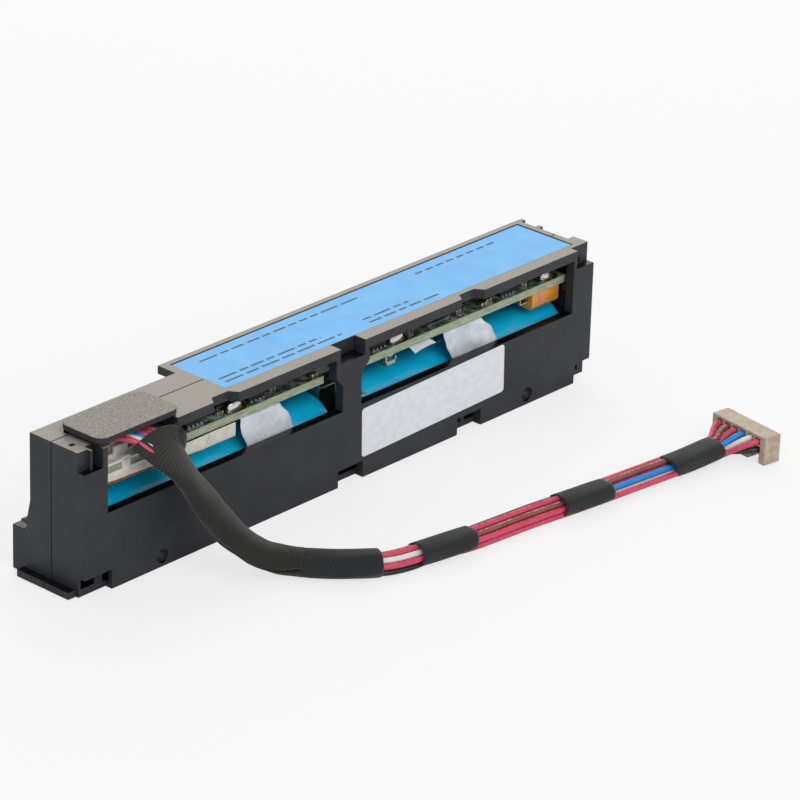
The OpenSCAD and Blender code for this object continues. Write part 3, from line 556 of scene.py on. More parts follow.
def wirePath(wire):
    # Points along one wire in metres, from the plug to its cavity
    settings = cableSettings
    x = settings["plugX"] + settings["plugPitch"] * wire["plug"]
    y, z = settings["plugY"], settings["plugZ"]
    bend = settings["bend"]
    points = [Vector((x, y, z)), Vector((x, y, z + 0.4))]
    for angle in (30, 60, 90):
        turn = math.radians(angle)
        points.append(Vector((x, y - bend * (1 - math.cos(turn)), z + 0.4 + bend * math.sin(turn))))
    flat = ((wire["plug"] - 3) * settings["flatPitch"], 0.0)
    places = [spanPlace(*place) for place in wire["spans"]]
    for step in range(27, 271, 3):
        u = step / 10
        centre, across, over = sleeveFrame(u)
        gather = smooth((u - sleeveSettings["from"]) / 4.5)
        spot = [f + (a - f) * gather for f, a in zip(flat, places[0])]
        for low, high, span in settings["shifts"]:
            k = smooth((u - low) / (high - low))
            spot = [s + (a - s) * k for s, a in zip(spot, places[span])]
        if u > sleeveSettings["from"]:
            # Pressed together inside the sleeve
            held = smooth((u - sleeveSettings["from"]) / 2) - smooth((u - 12.6) / 1.4)
            spot = [v * (1 - settings["squeeze"] * held) for v in spot]
        points.append(centre + across * spot[0] + over * spot[1])
    last = points[-1]
    heading = (last - points[-2]).normalized()
    entry = cavityAt(*wire["cavity"], -0.4)
    guide = cavityAt(*wire["cavity"], -2.6)
    for step in range(1, 8):
        points.append(bent(last, last + heading * 2.1, guide, entry, step / 7))
    points.append(cavityAt(*wire["cavity"], settings["wireIn"]))
    lift = settings["wire"] / 2 + 0.05
    return [fromCorner(p.x, p.y, max(p.z, lift)) for p in points]


def smoothedPath(points, times):
    for _ in range(times):
        inner = [(a + 2 * b + c) / 4 for a, b, c in zip(points, points[1:], points[2:])]
        points = [points[0]] + inner + [points[-1]]
    return points


def tubeAlong(points, radius, around):
    # A round tube on a path; its rings keep the same side up
    count = len(points)
    rings = []
    for i, point in enumerate(points):
        ahead = (points[min(i + 1, count - 1)] - points[max(i - 1, 0)]).normalized()
        side = ahead.cross(Vector((0.35, -0.3, 0.89))).normalized()
        rings.append((point, side, side.cross(ahead)))

    def place(s, t):
        point, side, top = rings[round(s * (count - 1))]
        turn = 2 * math.pi * t
        return point + (side * math.cos(turn) + top * math.sin(turn)) * radius
    return shapedSheet(count - 1, around, place)


def pathLength(points):
    return sum((b - a).length for a, b in zip(points, points[1:]))


def bandPoint(u0, u1, width, height, power, slant=0.0):
    def place(s, t):
        u = u0 + (u1 - u0) * s
        angle = 2 * math.pi * t
        u += slant * math.sin(angle) * (u1 - u0)
        centre, heading, across, over = routeFrame(min(max(u, 0), routeEnd))
        x, z = roundedSection(angle, width, height / 2, height / 2, power)
        # Cloth pulled down over the wires: soft lengthwise ridges
        ridge = 1 + 0.025 * math.sin(5 * angle + 4 * s) - 0.03 * abs(2 * s - 1) ** 6
        spot = centre + across * x * ridge + over * z * ridge
        return fromCorner(spot.x, spot.y, max(spot.z, 0.06))
    return place


def printedJacket(name, colour, shade, ink):
    # Extruded insulation with one worn line of print, as plain dashes
    material, tree, shader, place = newMaterial(name, colour, 0.36, ior=1.53)
    parts = addNode(tree, "ShaderNodeSeparateXYZ", {0: place.outputs["UV"]})
    line = addNode(tree, "ShaderNodeMath", {0: parts.outputs[1], 1: 0.95 * mm},
                   operation="COMPARE")
    line.inputs[2].default_value = 0.17 * mm
    stretch = addNode(tree, "ShaderNodeMapping", {
        "Vector": place.outputs["UV"], "Scale": (1, 0.15, 1)})
    dashes = speckle(tree, stretch.outputs[0], 0.75, 1)
    worn = addNode(tree, "ShaderNodeMath", {
        0: line.outputs[0], 1: remap(tree, dashes.outputs[0], 0.5, 0.56)}, operation="MULTIPLY")
    clouds = speckle(tree, place.outputs["Object"], 3)
    body = mixColours(tree, remap(tree, clouds.outputs[0], 0.3, 0.7), shade, colour)
    faded = addNode(tree, "ShaderNodeMath", {0: worn.outputs[0], 1: 0.6}, operation="MULTIPLY")
    tree.links.new(mixColours(tree, faded.outputs[0], body, ink), shader.inputs["Base Color"])
    bump(tree, shader, clouds.outputs[0], 0.03, 0.3)
    return material


redJacket = printedJacket("redPvcJacket", "E0506E", "D04262", "5A1626")
brownJacket = printedJacket("brownPvcJacket", "9C5C50", "8A4C42", "D8B8A8")
blueJacket = makeJacket("bluePvcJacket", "1E96EA", "1684D8")
whiteJacket = makeJacket("whitePvcJacket", "F2F0EE", "E2E0E2")
blackJacket = makeJacket("blackPvcJacket", "26262A", "18181A")
jackets = {"wireRedA": redJacket, "wireBrown": brownJacket, "wireRedB": redJacket,
           "wireBlue": blueJacket, "wireWhite": whiteJacket, "wireRedC": redJacket,
           "wireBlack": blackJacket}
sleeveCloth = makeWeave("wovenPolyesterSleeve", {
    "colour": "0C0D0C", "highlight": "33342E", "turn": 0, "alongMm": 0.42, "acrossMm": 0.5,
    "wobble": 0.6, "depthMm": 0.12})
tapeCloth = makeWeave("clothTape", {
    "colour": "0C0D0E", "highlight": "2A2C30", "turn": 28, "alongMm": 0.45, "acrossMm": 0.6,
    "wobble": 0.8, "depthMm": 0.1})

sleeveMesh = shapedSheet(72, 96, sleevePoint, capped=False)
sleeve = meshPiece("cableSleeve", sleeveMesh, sleeveCloth, ["cable_sleeve"])
thicken(sleeve, sleeveSettings["wall"])
flapSettings = {"from": -0.025, "to": 0.16, "start": -28, "stop": 38, "proud": 0.42}


def flapPoint(s, t):
    # The sheet's second layer, lapped over its right edge at the mouth
    settings = flapSettings
    along = settings["from"] + (settings["to"] - settings["from"]) * s
    angle = settings["start"] + (settings["stop"] - settings["start"]) * t * (1 - 0.35 * s)
    return sleevePoint(along, angle / 360, settings["proud"] * (1 - 0.75 * s))


flap = meshPiece("sleeveFlap", shapedSheet(20, 20, flapPoint, closed=False), sleeveCloth,
                 ["cable_sleeve"])
thicken(flap, sleeveSettings["wall"])
bandSettings = {
    # u from and to, width, height, exponent and slant of the ends
    "sleeveWrap": (11.95, 14.05, 5.7, 5.5, 2.3, 0.0, "sleeve_wrap"),
    "tapeBandA": (15.95, 18.05, 5.7, 4.1, 2.6, 0.03, "tape_band_1"),
    "tapeBandB": (20.95, 23.05, 5.7, 4.0, 2.6, 0.0, "tape_band_2"),
    "tapeBandC": (24.95, 27.02, 6.0, 4.0, 2.6, -0.05, "tape_band_3"),
}
for name, (u0, u1, width, height, power, slant, node) in bandSettings.items():
    bandMesh = shapedSheet(36, 64, bandPoint(u0, u1, width, height, power, slant), capped=False)
    band = meshPiece(name, bandMesh, tapeCloth, [node])
    thicken(band, 0.3)
print("sleeve and bands made")


connector = softenedNode("cable_connector", "cableConnector", beigeNylon, 0.1)

for name, wire in wires.items():
    path = smoothedPath(wirePath(wire), 2)
    tube = tubeAlong(path, cableSettings["wire"] / 2 * mm, 14)
    piece = meshPiece(name, tube, jackets[name], ["wire_bundle", "wire_fan"])
    round(pathLength(path), 4)
print("cable made, one wire", round(pathLength(path), 4), "m")


# Case and lid

def cutMesh(mesh, cutters):
    # The mesh with the cutters' solids taken out of it
    things = []
    for name, one in (("stock", mesh), ("cutters", cutters)):
        data = bpy.data.meshes.new(name)
        one.to_mesh(data)
        one.free()
        thing = bpy.data.objects.new(name, data)
        bpy.context.scene.collection.objects.link(thing)
        things.append(thing)
    cut = things[0].modifiers.new("cut", "BOOLEAN")
    cut.object, cut.operation, cut.solver = things[1], "DIFFERENCE", "EXACT"
    done = things[0].evaluated_get(bpy.context.evaluated_depsgraph_get())
    result = bmesh.new()
    result.from_mesh(done.to_mesh())
    done.to_mesh_clear()
    for thing in things:
        bpy.data.objects.remove(thing)
    bmesh.ops.remove_doubles(result, verts=result.verts, dist=2e-6)
    bmesh.ops.dissolve_limit(result, angle_limit=math.radians(0.5), verts=result.verts,
                             edges=result.edges)
    return result


caseSettings = {
    # Boxes cut out of the front shell, from corner to corner in mm
    "cuts": (((-1, -1, 26), (4.9, 0.9, 31)), ((0.6, 1.1, 1.6), (4.3, 5.1, 3.4))),
    "pins": ((20.6, 2.2), (-19.6, 2.2)), "pinRadius": 1.5, "stub": 0.95,
    "pegs": ((-6.0, -4.9), (-1.2, -0.1)), "pegOut": (-2.4, -0.6), "pegZ": (28.8, 30),
    "slotFill": ((-5.3, 1.9, 27.3), (-2.3, 4.1, 28.8)),
    "lid": ((3.8, -0.3, 30.9), (25.1, 11.2, 32.1)), "lidRadius": 2.4,
    "skirt": (((4.6, 0.5, 30), (7.0, 10.4, 31)), ((4.6, 9.3, 30), (24.3, 10.4, 31)),
              ((23.8, 0.5, 30), (24.3, 10.4, 31)), ((6.2, 3.4, 28.4), (7.0, 8.4, 30.1))),
}


def makeFrontShell(settings):
    cutters = bmesh.new()
    for low, high in settings["cuts"]:
        addBox(cutters, fromCorner(*low), fromCorner(*high))
    for x, z in settings["pins"]:
        made = bmesh.ops.create_cone(cutters, cap_ends=True, segments=40,
                                     radius1=settings["pinRadius"] * mm,
                                     radius2=settings["pinRadius"] * mm, depth=1.7 * mm)["verts"]
        bmesh.ops.rotate(cutters, matrix=Matrix.Rotation(math.pi / 2, 3, "X"), verts=made)
        bmesh.ops.translate(cutters, vec=fromCorner(x if x > 0 else caseRight + x, -0.05, z), verts=made)
    return cutMesh(nodeCopy("front_shell"), cutters)


def makePins(settings):
    # Ejector pins seen in their recesses: low domes
    mesh = bmesh.new()
    for x, z in settings["pins"]:
        made = bmesh.ops.create_uvsphere(mesh, u_segments=32, v_segments=16,
                                         radius=settings["stub"] * mm)["verts"]
        bmesh.ops.scale(mesh, vec=(1, 0.55, 1), verts=made)
        bmesh.ops.translate(mesh, vec=fromCorner(x if x > 0 else caseRight + x, 0.85, z), verts=made)
    return mesh


def makePegs(settings):
    # Pegs on the right end, and a block that closes the slot above the pocket
    back = (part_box("back_shell")[1].y - corner.y) / mm
    (x0, x1), (z0, z1) = settings["pegOut"], settings["pegZ"]
    boxes = [((x0, back + y0, z0), (x1, back + y1, z1)) for y0, y1 in settings["pegs"]]
    boxes.append(settings["slotFill"])
    return bevelledBoxes([[fromCorner(caseRight + x, y, z) for x, y, z in box] for box in boxes], 0.1)


def makeLid(settings):
    # A plate with round corners over a set-back skirt
    mesh = bmesh.new()
    low, high = settings["lid"]
    addBox(mesh, fromCorner(*low), fromCorner(*high))
    upright = [e for e in mesh.edges if abs(e.verts[0].co.z - e.verts[1].co.z) > 0.5 * mm]
    bmesh.ops.bevel(mesh, geom=upright, offset=settings["lidRadius"] * mm, segments=10,
                    profile=0.5, affect="EDGES", material=-1)
    bevelMesh(mesh, 0.18, 3, 50)
    for low, high in settings["skirt"]:
        addBox(mesh, fromCorner(*low), fromCorner(*high))
    return mesh


frontShell = meshPiece("frontShell", makeFrontShell(caseSettings), casePlastic,
                       ["front_shell"])
breakEdges(frontShell, 0.12)
meshPiece("ejectorPins", makePins(caseSettings), casePlastic)
softenedNode("back_shell", "backShell", casePlastic, 0.14)
print("case made")


# Cells

cellSettings = {"lip": 5.6, "film": 0.15, "shoulder": 0.7, "pucker": 0.05, "puckers": 24}


def makeCellFilm(node):
    # A shrunk tube: a straight body, round shoulders and a puckered lip over each end
    low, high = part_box(node)
    settings = cellSettings
    radius, lip, film = (high.z - low.z) / 2, settings["lip"] * mm, settings["film"] * mm
    shoulder = settings["shoulder"] * mm
    length = high.x - low.x
    mesh = bmesh.new()
    profile = [(lip, 0.02 * mm)]
    for step in range(7):
        turn = math.radians(90 * step / 6)
        profile.append((radius - shoulder * (1 - math.sin(turn)), shoulder * (1 - math.cos(turn))))
    outer = [(r, x) for r, x in profile] + [(r, length - x) for r, x in reversed(profile)]
    verts = [mesh.verts.new((x, r, 0)) for r, x in outer]
    edges = [mesh.edges.new(pair) for pair in zip(verts, verts[1:])]
    # The straight body is the edge between the two shoulders
    bmesh.ops.subdivide_edges(mesh, edges=[edges[7]], cuts=30)
    bmesh.ops.spin(mesh, geom=mesh.verts[:] + mesh.edges[:], cent=(0, 0, 0), axis=(1, 0, 0),
                   angle=2 * math.pi, steps=96, use_merge=True)
    bmesh.ops.remove_doubles(mesh, verts=mesh.verts, dist=1e-6)
    for vert in mesh.verts:
        rim = abs(vert.co.x / length - 0.5) * 2
        if rim > 0.999:
            side = 1 if vert.co.x > length / 2 else -1
            around = math.atan2(vert.co.z, vert.co.y)
            vert.co.x += settings["pucker"] * mm * math.sin(settings["puckers"] * around) * side
    bmesh.ops.recalc_face_normals(mesh, faces=mesh.faces)
    bmesh.ops.translate(mesh, vec=(low.x, (low.y + high.y) / 2, (low.z + high.z) / 2),
                        verts=mesh.verts)
    return mesh


for node, name in (("left_cell_sleeve", "leftCellFilm"), ("right_cell_sleeve", "rightCellFilm")):
    film = meshPiece(name, makeCellFilm(node), shrinkFilm, [node])
    thicken(film, cellSettings["film"])
print("cells made")


# Board and what sits on it

def solidBoxes(node):
    # The box of each separate solid of a CAD node
    mesh = nodeCopy(node)
    left = set(mesh.verts)
    boxes = []
    while left:
        group, edge = set(), [left.pop()]
        while edge:
            vert = edge.pop()
            group.add(vert)
            for link in vert.link_edges:
                other = link.other_vert(vert)
                if other in left:
                    left.remove(other)
                    edge.append(other)
        spots = [v.co for v in group]
        boxes.append((Vector(min(s[i] for s in spots) for i in range(3)),
                      Vector(max(s[i] for s in spots) for i in range(3))))
    mesh.free()
    return sorted(boxes, key=lambda b: b[0].x)


def bevelledBoxes(boxes, widthMm, segments=2):
    mesh = bmesh.new()
    for low, high in boxes:
        addBox(mesh, low, high)
    bevelMesh(mesh, widthMm, segments)
    return mesh


def makeChips(node, name, pins):
    # Moulded packages with gull-wing pins
    bodies, legs = [], []
    for low, high in solidBoxes(node):
        bodies.append((low + Vector((0, 0.5, 0.1)) * mm, high - Vector((0, 0.5, 0)) * mm))
        pitch = (high.x - low.x) / pins
        for i in range(pins):
            x0 = low.x + pitch * (i + 0.3)
            x1 = x0 + pitch * 0.4
            for y0, y1, y2 in ((low.y, low.y + 0.28 * mm, low.y + 0.6 * mm),
                               (high.y, high.y - 0.28 * mm, high.y - 0.6 * mm)):
                legs.append((Vector((x0, min(y0, y1), low.z)),
                             Vector((x1, max(y0, y1), low.z + 0.15 * mm))))
                legs.append((Vector((x0, min(y1, y2), low.z + 0.02 * mm)),
                             Vector((x1, max(y1, y2), low.z + 0.45 * mm))))
    meshPiece(name, bevelledBoxes(bodies, 0.1), chipEpoxy, [node], smooth=False)
    meshPiece(name + "Pins", bevelledBoxes(legs, 0.03, 1), solder, [node], smooth=False)


def makeChipParts(node, name, material):
    # Fired bodies with tinned ends
    bodies, ends = [], []
    for low, high in solidBoxes(node):
        bodies.append((low + Vector((0.2, 0.05, 0.04)) * mm, high - Vector((0.2, 0.05, 0.04)) * mm))
        ends.append((low, Vector((low.x + 0.35 * mm, high.y, high.z))))
        ends.append((Vector((high.x - 0.35 * mm, low.y, low.z)), high))
    meshPiece(name, bevelledBoxes(bodies, 0.06), material, [node], smooth=False)
    meshPiece(name + "Ends", bevelledBoxes(ends, 0.08), solder, [node], smooth=False)


makeChips("gauge_chip", "gaugeChip", 9)
makeChips("power_transistors", "powerTransistors", 4)
makeChipParts("chip_capacitors", "chipCapacitors", capCeramic)
makeChipParts("chip_resistors", "chipResistors", chipEpoxy)


def makeLugs():
    # Tall glossy humps of solder over the slots
    mesh = bmesh.new()
    for low, high in solidBoxes("solder_lugs"):
        made = bmesh.ops.create_uvsphere(mesh, u_segments=32, v_segments=16, radius=1)["verts"]
        size = high - low
        for vert in made:
            x, y, z = vert.co
            lump = 1 + 0.08 * noise.noise(Vector((x * 1.7 + low.x * 90, y * 1.7, z * 1.7)))
            flat = math.copysign(abs(x) ** 0.75, x)
            vert.co = Vector((flat * size.x / 2 * lump, y * size.y * 0.55 * lump,
                              max(z, -0.05) * 1.9 * mm * lump))
        bmesh.ops.translate(mesh, vec=((low.x + high.x) / 2, (low.y + high.y) / 2 - 0.3 * mm, low.z),
                            verts=made)
    bmesh.ops.recalc_face_normals(mesh, faces=mesh.faces)
    return mesh


meshPiece("solderLugs", makeLugs(), solder, ["solder_lugs"])
boardLow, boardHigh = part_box("circuit_board")
# Bare laminate shows dark and glossy; dried flux shows brown and clear
darkMask = makeMoulded("bareLaminate", "1E3418", "35501F", 0.3, 0.6)
fluxFilm = makeFilm("solderFlux", "7A3F14", "B8742E", 0.2, 1, 0.8, 0.05)


def makeRings(growMm, thickMm):
    # Flat rings of bare board or of flux round the solder humps
    mesh = bmesh.new()
    for low, high in solidBoxes("solder_lugs"):
        made = bmesh.ops.create_circle(mesh, cap_ends=True, segments=48, radius=1)["verts"]
        size = (high - low) / 2 + Vector((growMm, growMm, 0)) * mm
        for vert in made:
            x = math.copysign(abs(vert.co.x) ** 0.7, vert.co.x)
            vert.co = Vector((x * size.x, vert.co.y * size.y, 0))
        bmesh.ops.translate(mesh, vec=((low.x + high.x) / 2, (low.y + high.y) / 2 - 0.3 * mm, low.z),
                            verts=made)
    faces = mesh.faces[:]
    raised = bmesh.ops.extrude_face_region(mesh, geom=faces)["geom"]
    bmesh.ops.translate(mesh, vec=(0, 0, thickMm * mm), verts=onlyVerts(raised))
    bmesh.ops.recalc_face_normals(mesh, faces=mesh.faces)
    return mesh


meshPiece("lugClearings", makeRings(1.0, 0.03), darkMask, smooth=False)
meshPiece("lugFlux", makeRings(0.25, 0.09), fluxFilm, smooth=False)
# The lands start and stop this far from the board's ends, in mm
landSettings = {"count": 46, "thick": 0.035, "start": 15, "stop": 2}


def makeLands(settings):
    # Tinned lands and vias along the open front of the board
    random.seed(11)
    boxes = []
    start = boardLow.x + settings["start"] * mm
    run = boardHigh.x - start - settings["stop"] * mm
    for i in range(settings["count"]):
        x = start + run * (i + random.random() * 0.7) / settings["count"]
        y = boardLow.y + random.choice((0.25, 0.9, 1.6, 2.6, 3.6)) * mm
        w, d = random.choice(((0.5, 0.5), (0.9, 0.6), (0.6, 1.1), (1.3, 0.5)))
        boxes.append((Vector((x, y, boardHigh.z - 0.01 * mm)),
                      Vector((x + w * mm, y + d * mm, boardHigh.z + settings["thick"] * mm))))
    return bevelledBoxes(boxes, 0.015, 1)


meshPiece("boardLands", makeLands(landSettings), solder, smooth=False)
meshPiece("endPegs", makePegs(caseSettings), casePlastic, smooth=False)
meshPiece("cableLid", makeLid(caseSettings), lidPlastic, ["cable_lid"], smooth=False)
softenedNode("board_header", "boardHeader", whiteNylon, 0.12)
softenedNode("harness_plug", "harnessPlug", plugNylon, 0.1)
apronSettings = {
    "boxes": (((7.2, 2.35, 21.7), (20.0, 2.8, 22.7)), ((12.1, 2.35, 22.6), (14.3, 2.85, 25.0)),
              ((7.2, 2.35, 24.1), (14.3, 2.9, 24.7)), ((7.2, 2.4, 24.1), (20.0, 4.3, 24.55))),
    "clip": (((85.4, 2.9, 20.3), (85.65, 6.2, 22.3)), ((85.4, 2.9, 20.3), (88.7, 3.15, 21.1)),
             ((88.35, 2.9, 20.3), (88.7, 3.15, 21.9)), ((85.4, 2.9, 20.3), (85.95, 3.15, 22.3)),
             ((85.4, 6.0, 22.05), (91.2, 6.2, 22.35))),
}


def makeBoxes(boxes, widthMm):
    return bevelledBoxes([(fromCorner(*low), fromCorner(*high)) for low, high in boxes], widthMm)


meshPiece("headerApron", makeBoxes(apronSettings["boxes"], 0.12), whiteNylon,
          ["board_header"], smooth=False)
meshPiece("contactClip", makeBoxes(apronSettings["clip"], 0.07), nickel,
          ["contact_clip"], smooth=False)


def makeDrip(x, y, z, radius, drop):
    # A cone of solder that hangs under the board
    mesh = bmesh.new()
    made = bmesh.ops.create_uvsphere(mesh, u_segments=24, v_segments=16, radius=1)["verts"]
    for vert in made:
        low = max(-vert.co.z, 0)
        wide = radius * (1 - 0.35 * low)
        vert.co = Vector((vert.co.x * wide * 1.3, vert.co.y * wide, min(vert.co.z, 0.1) * drop)) * mm
    bmesh.ops.translate(mesh, vec=fromCorner(x, y, z), verts=made)
    return mesh


meshPiece("solderDrip", makeDrip(87.6, 4.0, 22.35, 1.0, 1.5), solder)


def stripAlong(points, width, thick):
    # A bent metal strip: its path in mm, and its width along Y
    mesh = bmesh.new()
    verts = [mesh.verts.new(fromCorner(*p)) for p in points]
    edges = [mesh.edges.new(pair) for pair in zip(verts, verts[1:])]
    made = bmesh.ops.extrude_edge_only(mesh, edges=edges)["geom"]
    bmesh.ops.translate(mesh, vec=(0, width * mm, 0), verts=onlyVerts(made))
    bmesh.ops.recalc_face_normals(mesh, faces=mesh.faces)
    bmesh.ops.solidify(mesh, geom=mesh.faces[:], thickness=thick * mm)
    bevelMesh(mesh, thick * 0.3, 1, 50)
    return mesh


meshPiece("cellTabFold", stripAlong(((75.6, 3.2, 17.6), (79.6, 3.0, 16.6), (79.9, 3.0, 16.3),
                                     (79.5, 3.0, 16.0), (75.6, 3.2, 15.0)), 1.6, 0.22),
          nickel)
softenedNode("sense_resistor", "senseResistor", shuntAlloy, 0.1)
print("board made")


# Tapes and insulators

tapeSettings = {
    "left_tape": {"name": "leftTape", "shift": 2.6, "wrinkle": 0.35, "seed": 1.7},
    "right_tape": {"name": "rightTape", "shift": 4.0, "wrinkle": 0.45, "seed": 5.2},
}


def drapedPlace(node, settings):
    low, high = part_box(node)
    shift = settings["shift"] * mm
    width = high.x - low.x - shift
    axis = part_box("left_cell_sleeve")
    axisY, axisZ = (axis[0].y + axis[1].y) / 2, (axis[0].z + axis[1].z) / 2
    radius = (axis[1].z - axis[0].z) / 2
    flatRun, fall = 2.2 * mm, high.z - low.z

    def place(s, t):
        # s goes down the tape and t across it
        run = s * (flatRun + fall)
        if run < flatRun:
            y, z = low.y + 0.15 * mm + flatRun - run, high.z
        else:
            y, z = low.y + 0.15 * mm, high.z - (run - flatRun)
        down = max(run - flatRun, 0)
        x = low.x + t * width + shift * smooth(down / fall)
        x += t ** 3 * 2.0 * mm * smooth(down / (3 * mm))
        x += 0.3 * mm * noise.noise(Vector((s * 5, round(t), settings["seed"])))
        crease = noise.noise(Vector((t * 2.3 + s, s * 2.6, settings["seed"])))
        crease += 0.5 * noise.noise(Vector((t * 5, s * 4.4 + t * 2, settings["seed"] + 4)))
        y -= settings["wrinkle"] * mm * crease * smooth(down / (2 * mm))
        # Never behind the cell's front
        if z < axisZ + radius:
            y = min(y, axisY - math.sqrt(max(radius ** 2 - (z - axisZ) ** 2, 0)) - 0.25 * mm)
        y = max(y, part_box("front_shell")[0].y + 2.15 * mm)
        return Vector((x, y, z - 0.05 * mm))
    return place


for node, settings in tapeSettings.items():
    tape = meshPiece(settings["name"], shapedSheet(36, 36, drapedPlace(node, settings), closed=False),
                     milkyTape, [node])
    thicken(tape, 0.06, 0)
stripSettings = {
    "left": 7.3, "top": 22.3, "y": 2.45, "parted": 38,
    "drops": ((7.3, 1.5), (17, 1.7), (26, 2.4), (35.4, 2.9)),  # x and height of the card there
    # x from and to, lean of the free end, bulge, and how far it sits behind, in mm
    "cards": {"cardLeft": (7.3, 35.6, -1.3, 0.16, 0.0), "cardRight": (33.9, 42.6, -1.0, 0.05, 0.12)},
}


def stripPoint(x0, x1, lean, bulge, behind):
    # One of the two card sheets: s runs down it, t along it
    settings = stripSettings

    def place(s, t):
        x = x0 + (x1 - x0) * t
        drop = fromTable(settings["drops"], x)[0]
        x += lean * s * (t if x1 < settings["parted"] else 1 - t)
        y = settings["y"] + behind - bulge * math.sin(math.pi * s) * (0.6 + 0.4 * math.sin(0.5 * x))
        return fromCorner(x, y, settings["top"] - drop * s)
    return place


for name, side in stripSettings["cards"].items():
    card = meshPiece(name, shapedSheet(10, 60, stripPoint(*side), closed=False), insulatingCard,
                     ["insulator_strip"])
    thicken(card, 0.1, 0)


def edgePoint(s, t):
    # Tape folded under the lower edge of the card; s goes round the fold and t along it
    settings = stripSettings
    x = settings["left"] + 0.2 + 13.4 * t
    drop = fromTable(settings["drops"], x)[0]
    turn = math.pi * (s * 1.2 - 0.25)
    sag = 0.12 * noise.noise(Vector((x * 0.6, s, 2.2)))
    return fromCorner(x, settings["y"] + 0.3 - 0.42 * math.cos(turn),
                      settings["top"] - drop - 0.12 - 0.5 * math.sin(turn) * (1 - 0.35 * t) + sag)


softenedNode("thermal_cutoff", "thermalCutOff", amberTape, 0.35)
edgeStrip = meshPiece("edgeTape", shapedSheet(14, 50, edgePoint, closed=False), edgeFilm,
                      ["edge_tape"])
thicken(edgeStrip, 0.08, 0)


def foilPoint(s, t):
    # A curled end of foil between the board and the right tape
    x = 92.4 + 6.2 * t + 1.2 * s
    return fromCorner(x, 3.4 - 1.1 * s + 0.3 * math.sin(3 * t),
                      22.3 - 0.5 * s - 1.0 * s * s * (1 - 0.5 * t))


foil = meshPiece("curledFoil", shapedSheet(14, 24, foilPoint, closed=False), milkyTape)
thicken(foil, 0.06, 0)
# A black bar under the curled foil: painted shadow, a dark strip where the foil's shade falls
meshPiece("paintedShadowBar", makeBoxes((((94.6, 3.0, 20.5), (102.6, 3.3, 20.95)),), 0.12), chipEpoxy,
          smooth=False)


# Labels

def makePrintedFilm():
    # Printed polyester: an even light blue with a soft sheen and a fine tooth
    material, tree, shader, place = newMaterial("printedPolyesterLabel", "5AB9FA", 0.4)
    clouds = speckle(tree, place.outputs["Object"], 6)
    tree.links.new(mixColours(tree, remap(tree, clouds.outputs[0], 0.3, 0.7), "4FB0F2", "62BEFC"),
                   shader.inputs["Base Color"])
    bump(tree, shader, speckle(tree, place.outputs["Object"], 0.4).outputs[0], 0.02, 0.3)
    return material


labelFilm = makePrintedFilm()
whiteFilm = makeMoulded("whitePaperLabel", "E9EDF6", "F7F9FE", 0.5, 0.6)
inkGrey = makeMoulded("printedInk", "2C4A5E", "3A5A70", 0.5, 0.3)
softenedNode("top_label", "topLabel", labelFilm, 0.05)
softenedNode("side_label", "sideLabel", whiteFilm, 0.03)


def makeTopBars():
    # Plain bars in place of print
    low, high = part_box("top_label")
    random.seed(5)
    boxes = []
    # Each row's place across the label, and where it starts and stops, as shares of its size
    rows = ((0.12, 0.02, 0.34), (0.24, 0.02, 0.3), (0.12, 0.42, 0.62), (0.24, 0.42, 0.55),
            (0.8, 0.05, 0.5), (0.8, 0.66, 0.9))
    for across, start, stop in rows:
        x = low.x + (high.x - low.x) * start
        end = low.x + (high.x - low.x) * stop
        y = low.y + (high.y - low.y) * across
        while x < end:
            run = random.choice((2.2, 3.4, 4.8)) * mm
            boxes.append((Vector((x, y, high.z)),
                          Vector((min(x + run, end), y + 0.55 * mm, high.z + 0.012 * mm))))
            x += run + 0.9 * mm
    return bevelledBoxes(boxes, 0.004, 1)


meshPiece("topLabelBars", makeTopBars(), inkGrey, smooth=False)
print("labels made")


# CAD solids that are shown as they are

for node, material in {
        "left_cell": canSteel, "right_cell": canSteel, "end_insulators": insulatingCard,
        "left_end_tab": nickel, "series_tab": nickel, "right_end_tab": nickel,
        "circuit_board": laminate, "cutoff_leads": nickel,
        "connector_contacts": makeNickel("stampedBrass", "D8B25C", 0.3)}.items():
    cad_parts[node].material_slots[0].material = material


# Floor, light and background

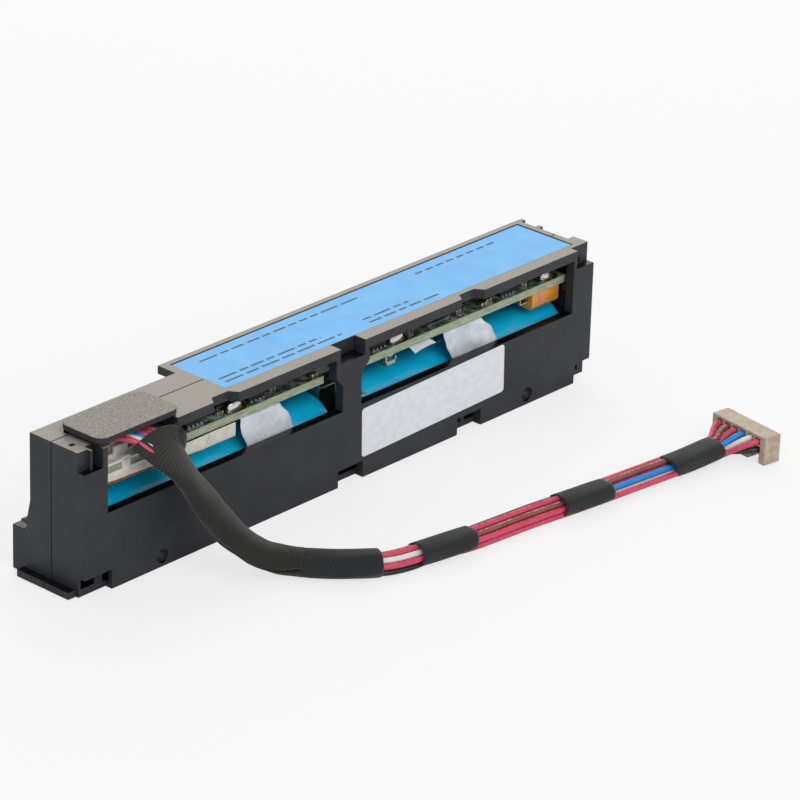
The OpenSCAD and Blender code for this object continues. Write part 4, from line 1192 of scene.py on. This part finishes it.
studioSettings = {
    "floorColour": "F4F4F4", "sky": 0.5,
    "softbox": {"place": (0.55, 0.55, 0.55), "size": 0.9, "power": 3.4},
    "key": {"place": (-0.25, -0.8, 0.75), "size": 0.8, "power": 4.6},
}


def makeStudio(settings):
    bpy.ops.mesh.primitive_plane_add(size=6)
    floor = bpy.context.object
    floor.name = "studioFloor"
    floor.location.z = -0.0002
    material, tree, shader, place = newMaterial("paintedFloor", settings["floorColour"], 0.8)
    shader.inputs["Specular IOR Level"].default_value = 0.1
    rays = addNode(tree, "ShaderNodeLightPath")
    seen = addNode(tree, "ShaderNodeMath", {0: rays.outputs["Is Camera Ray"], 1: 0.72},
                   operation="MULTIPLY")
    glow = addNode(tree, "ShaderNodeEmission", {"Color": (1, 1, 1, 1), "Strength": 1.0})
    mixed = addNode(tree, "ShaderNodeMixShader", {
        0: seen.outputs[0], 1: shader.outputs[0], 2: glow.outputs[0]})
    output = next(n for n in tree.nodes if n.bl_idname == "ShaderNodeOutputMaterial")
    tree.links.new(mixed.outputs[0], output.inputs["Surface"])
    floor.data.materials.append(material)
    world = bpy.data.worlds.new("studio")
    bpy.context.scene.world = world
    world.use_nodes = True
    tree = world.node_tree
    tree.nodes.clear()
    rays = addNode(tree, "ShaderNodeLightPath")
    clear = addNode(tree, "ShaderNodeMath", {
        0: rays.outputs["Is Camera Ray"], 1: rays.outputs["Is Transmission Ray"]},
        operation="MAXIMUM")
    level = remap(tree, clear.outputs[0], 0, 1, settings["sky"], 1)
    sky = addNode(tree, "ShaderNodeBackground", {"Color": (1, 1, 1, 1), "Strength": level})
    addNode(tree, "ShaderNodeOutputWorld", {"Surface": sky.outputs[0]})
    for name in ("softbox", "key"):
        one = settings[name]
        data = bpy.data.lights.new(name, "AREA")
        data.shape, data.size, data.energy = "SQUARE", one["size"], one["power"]
        lamp = bpy.data.objects.new(name, data)
        lamp.location = one["place"]
        lamp.rotation_euler = (-Vector(one["place"])).to_track_quat("-Z", "Y").to_euler()
        bpy.context.scene.collection.objects.link(lamp)


makeStudio(studioSettings)
bpy.context.scene.view_settings.view_transform = "Standard"
print("studio made")
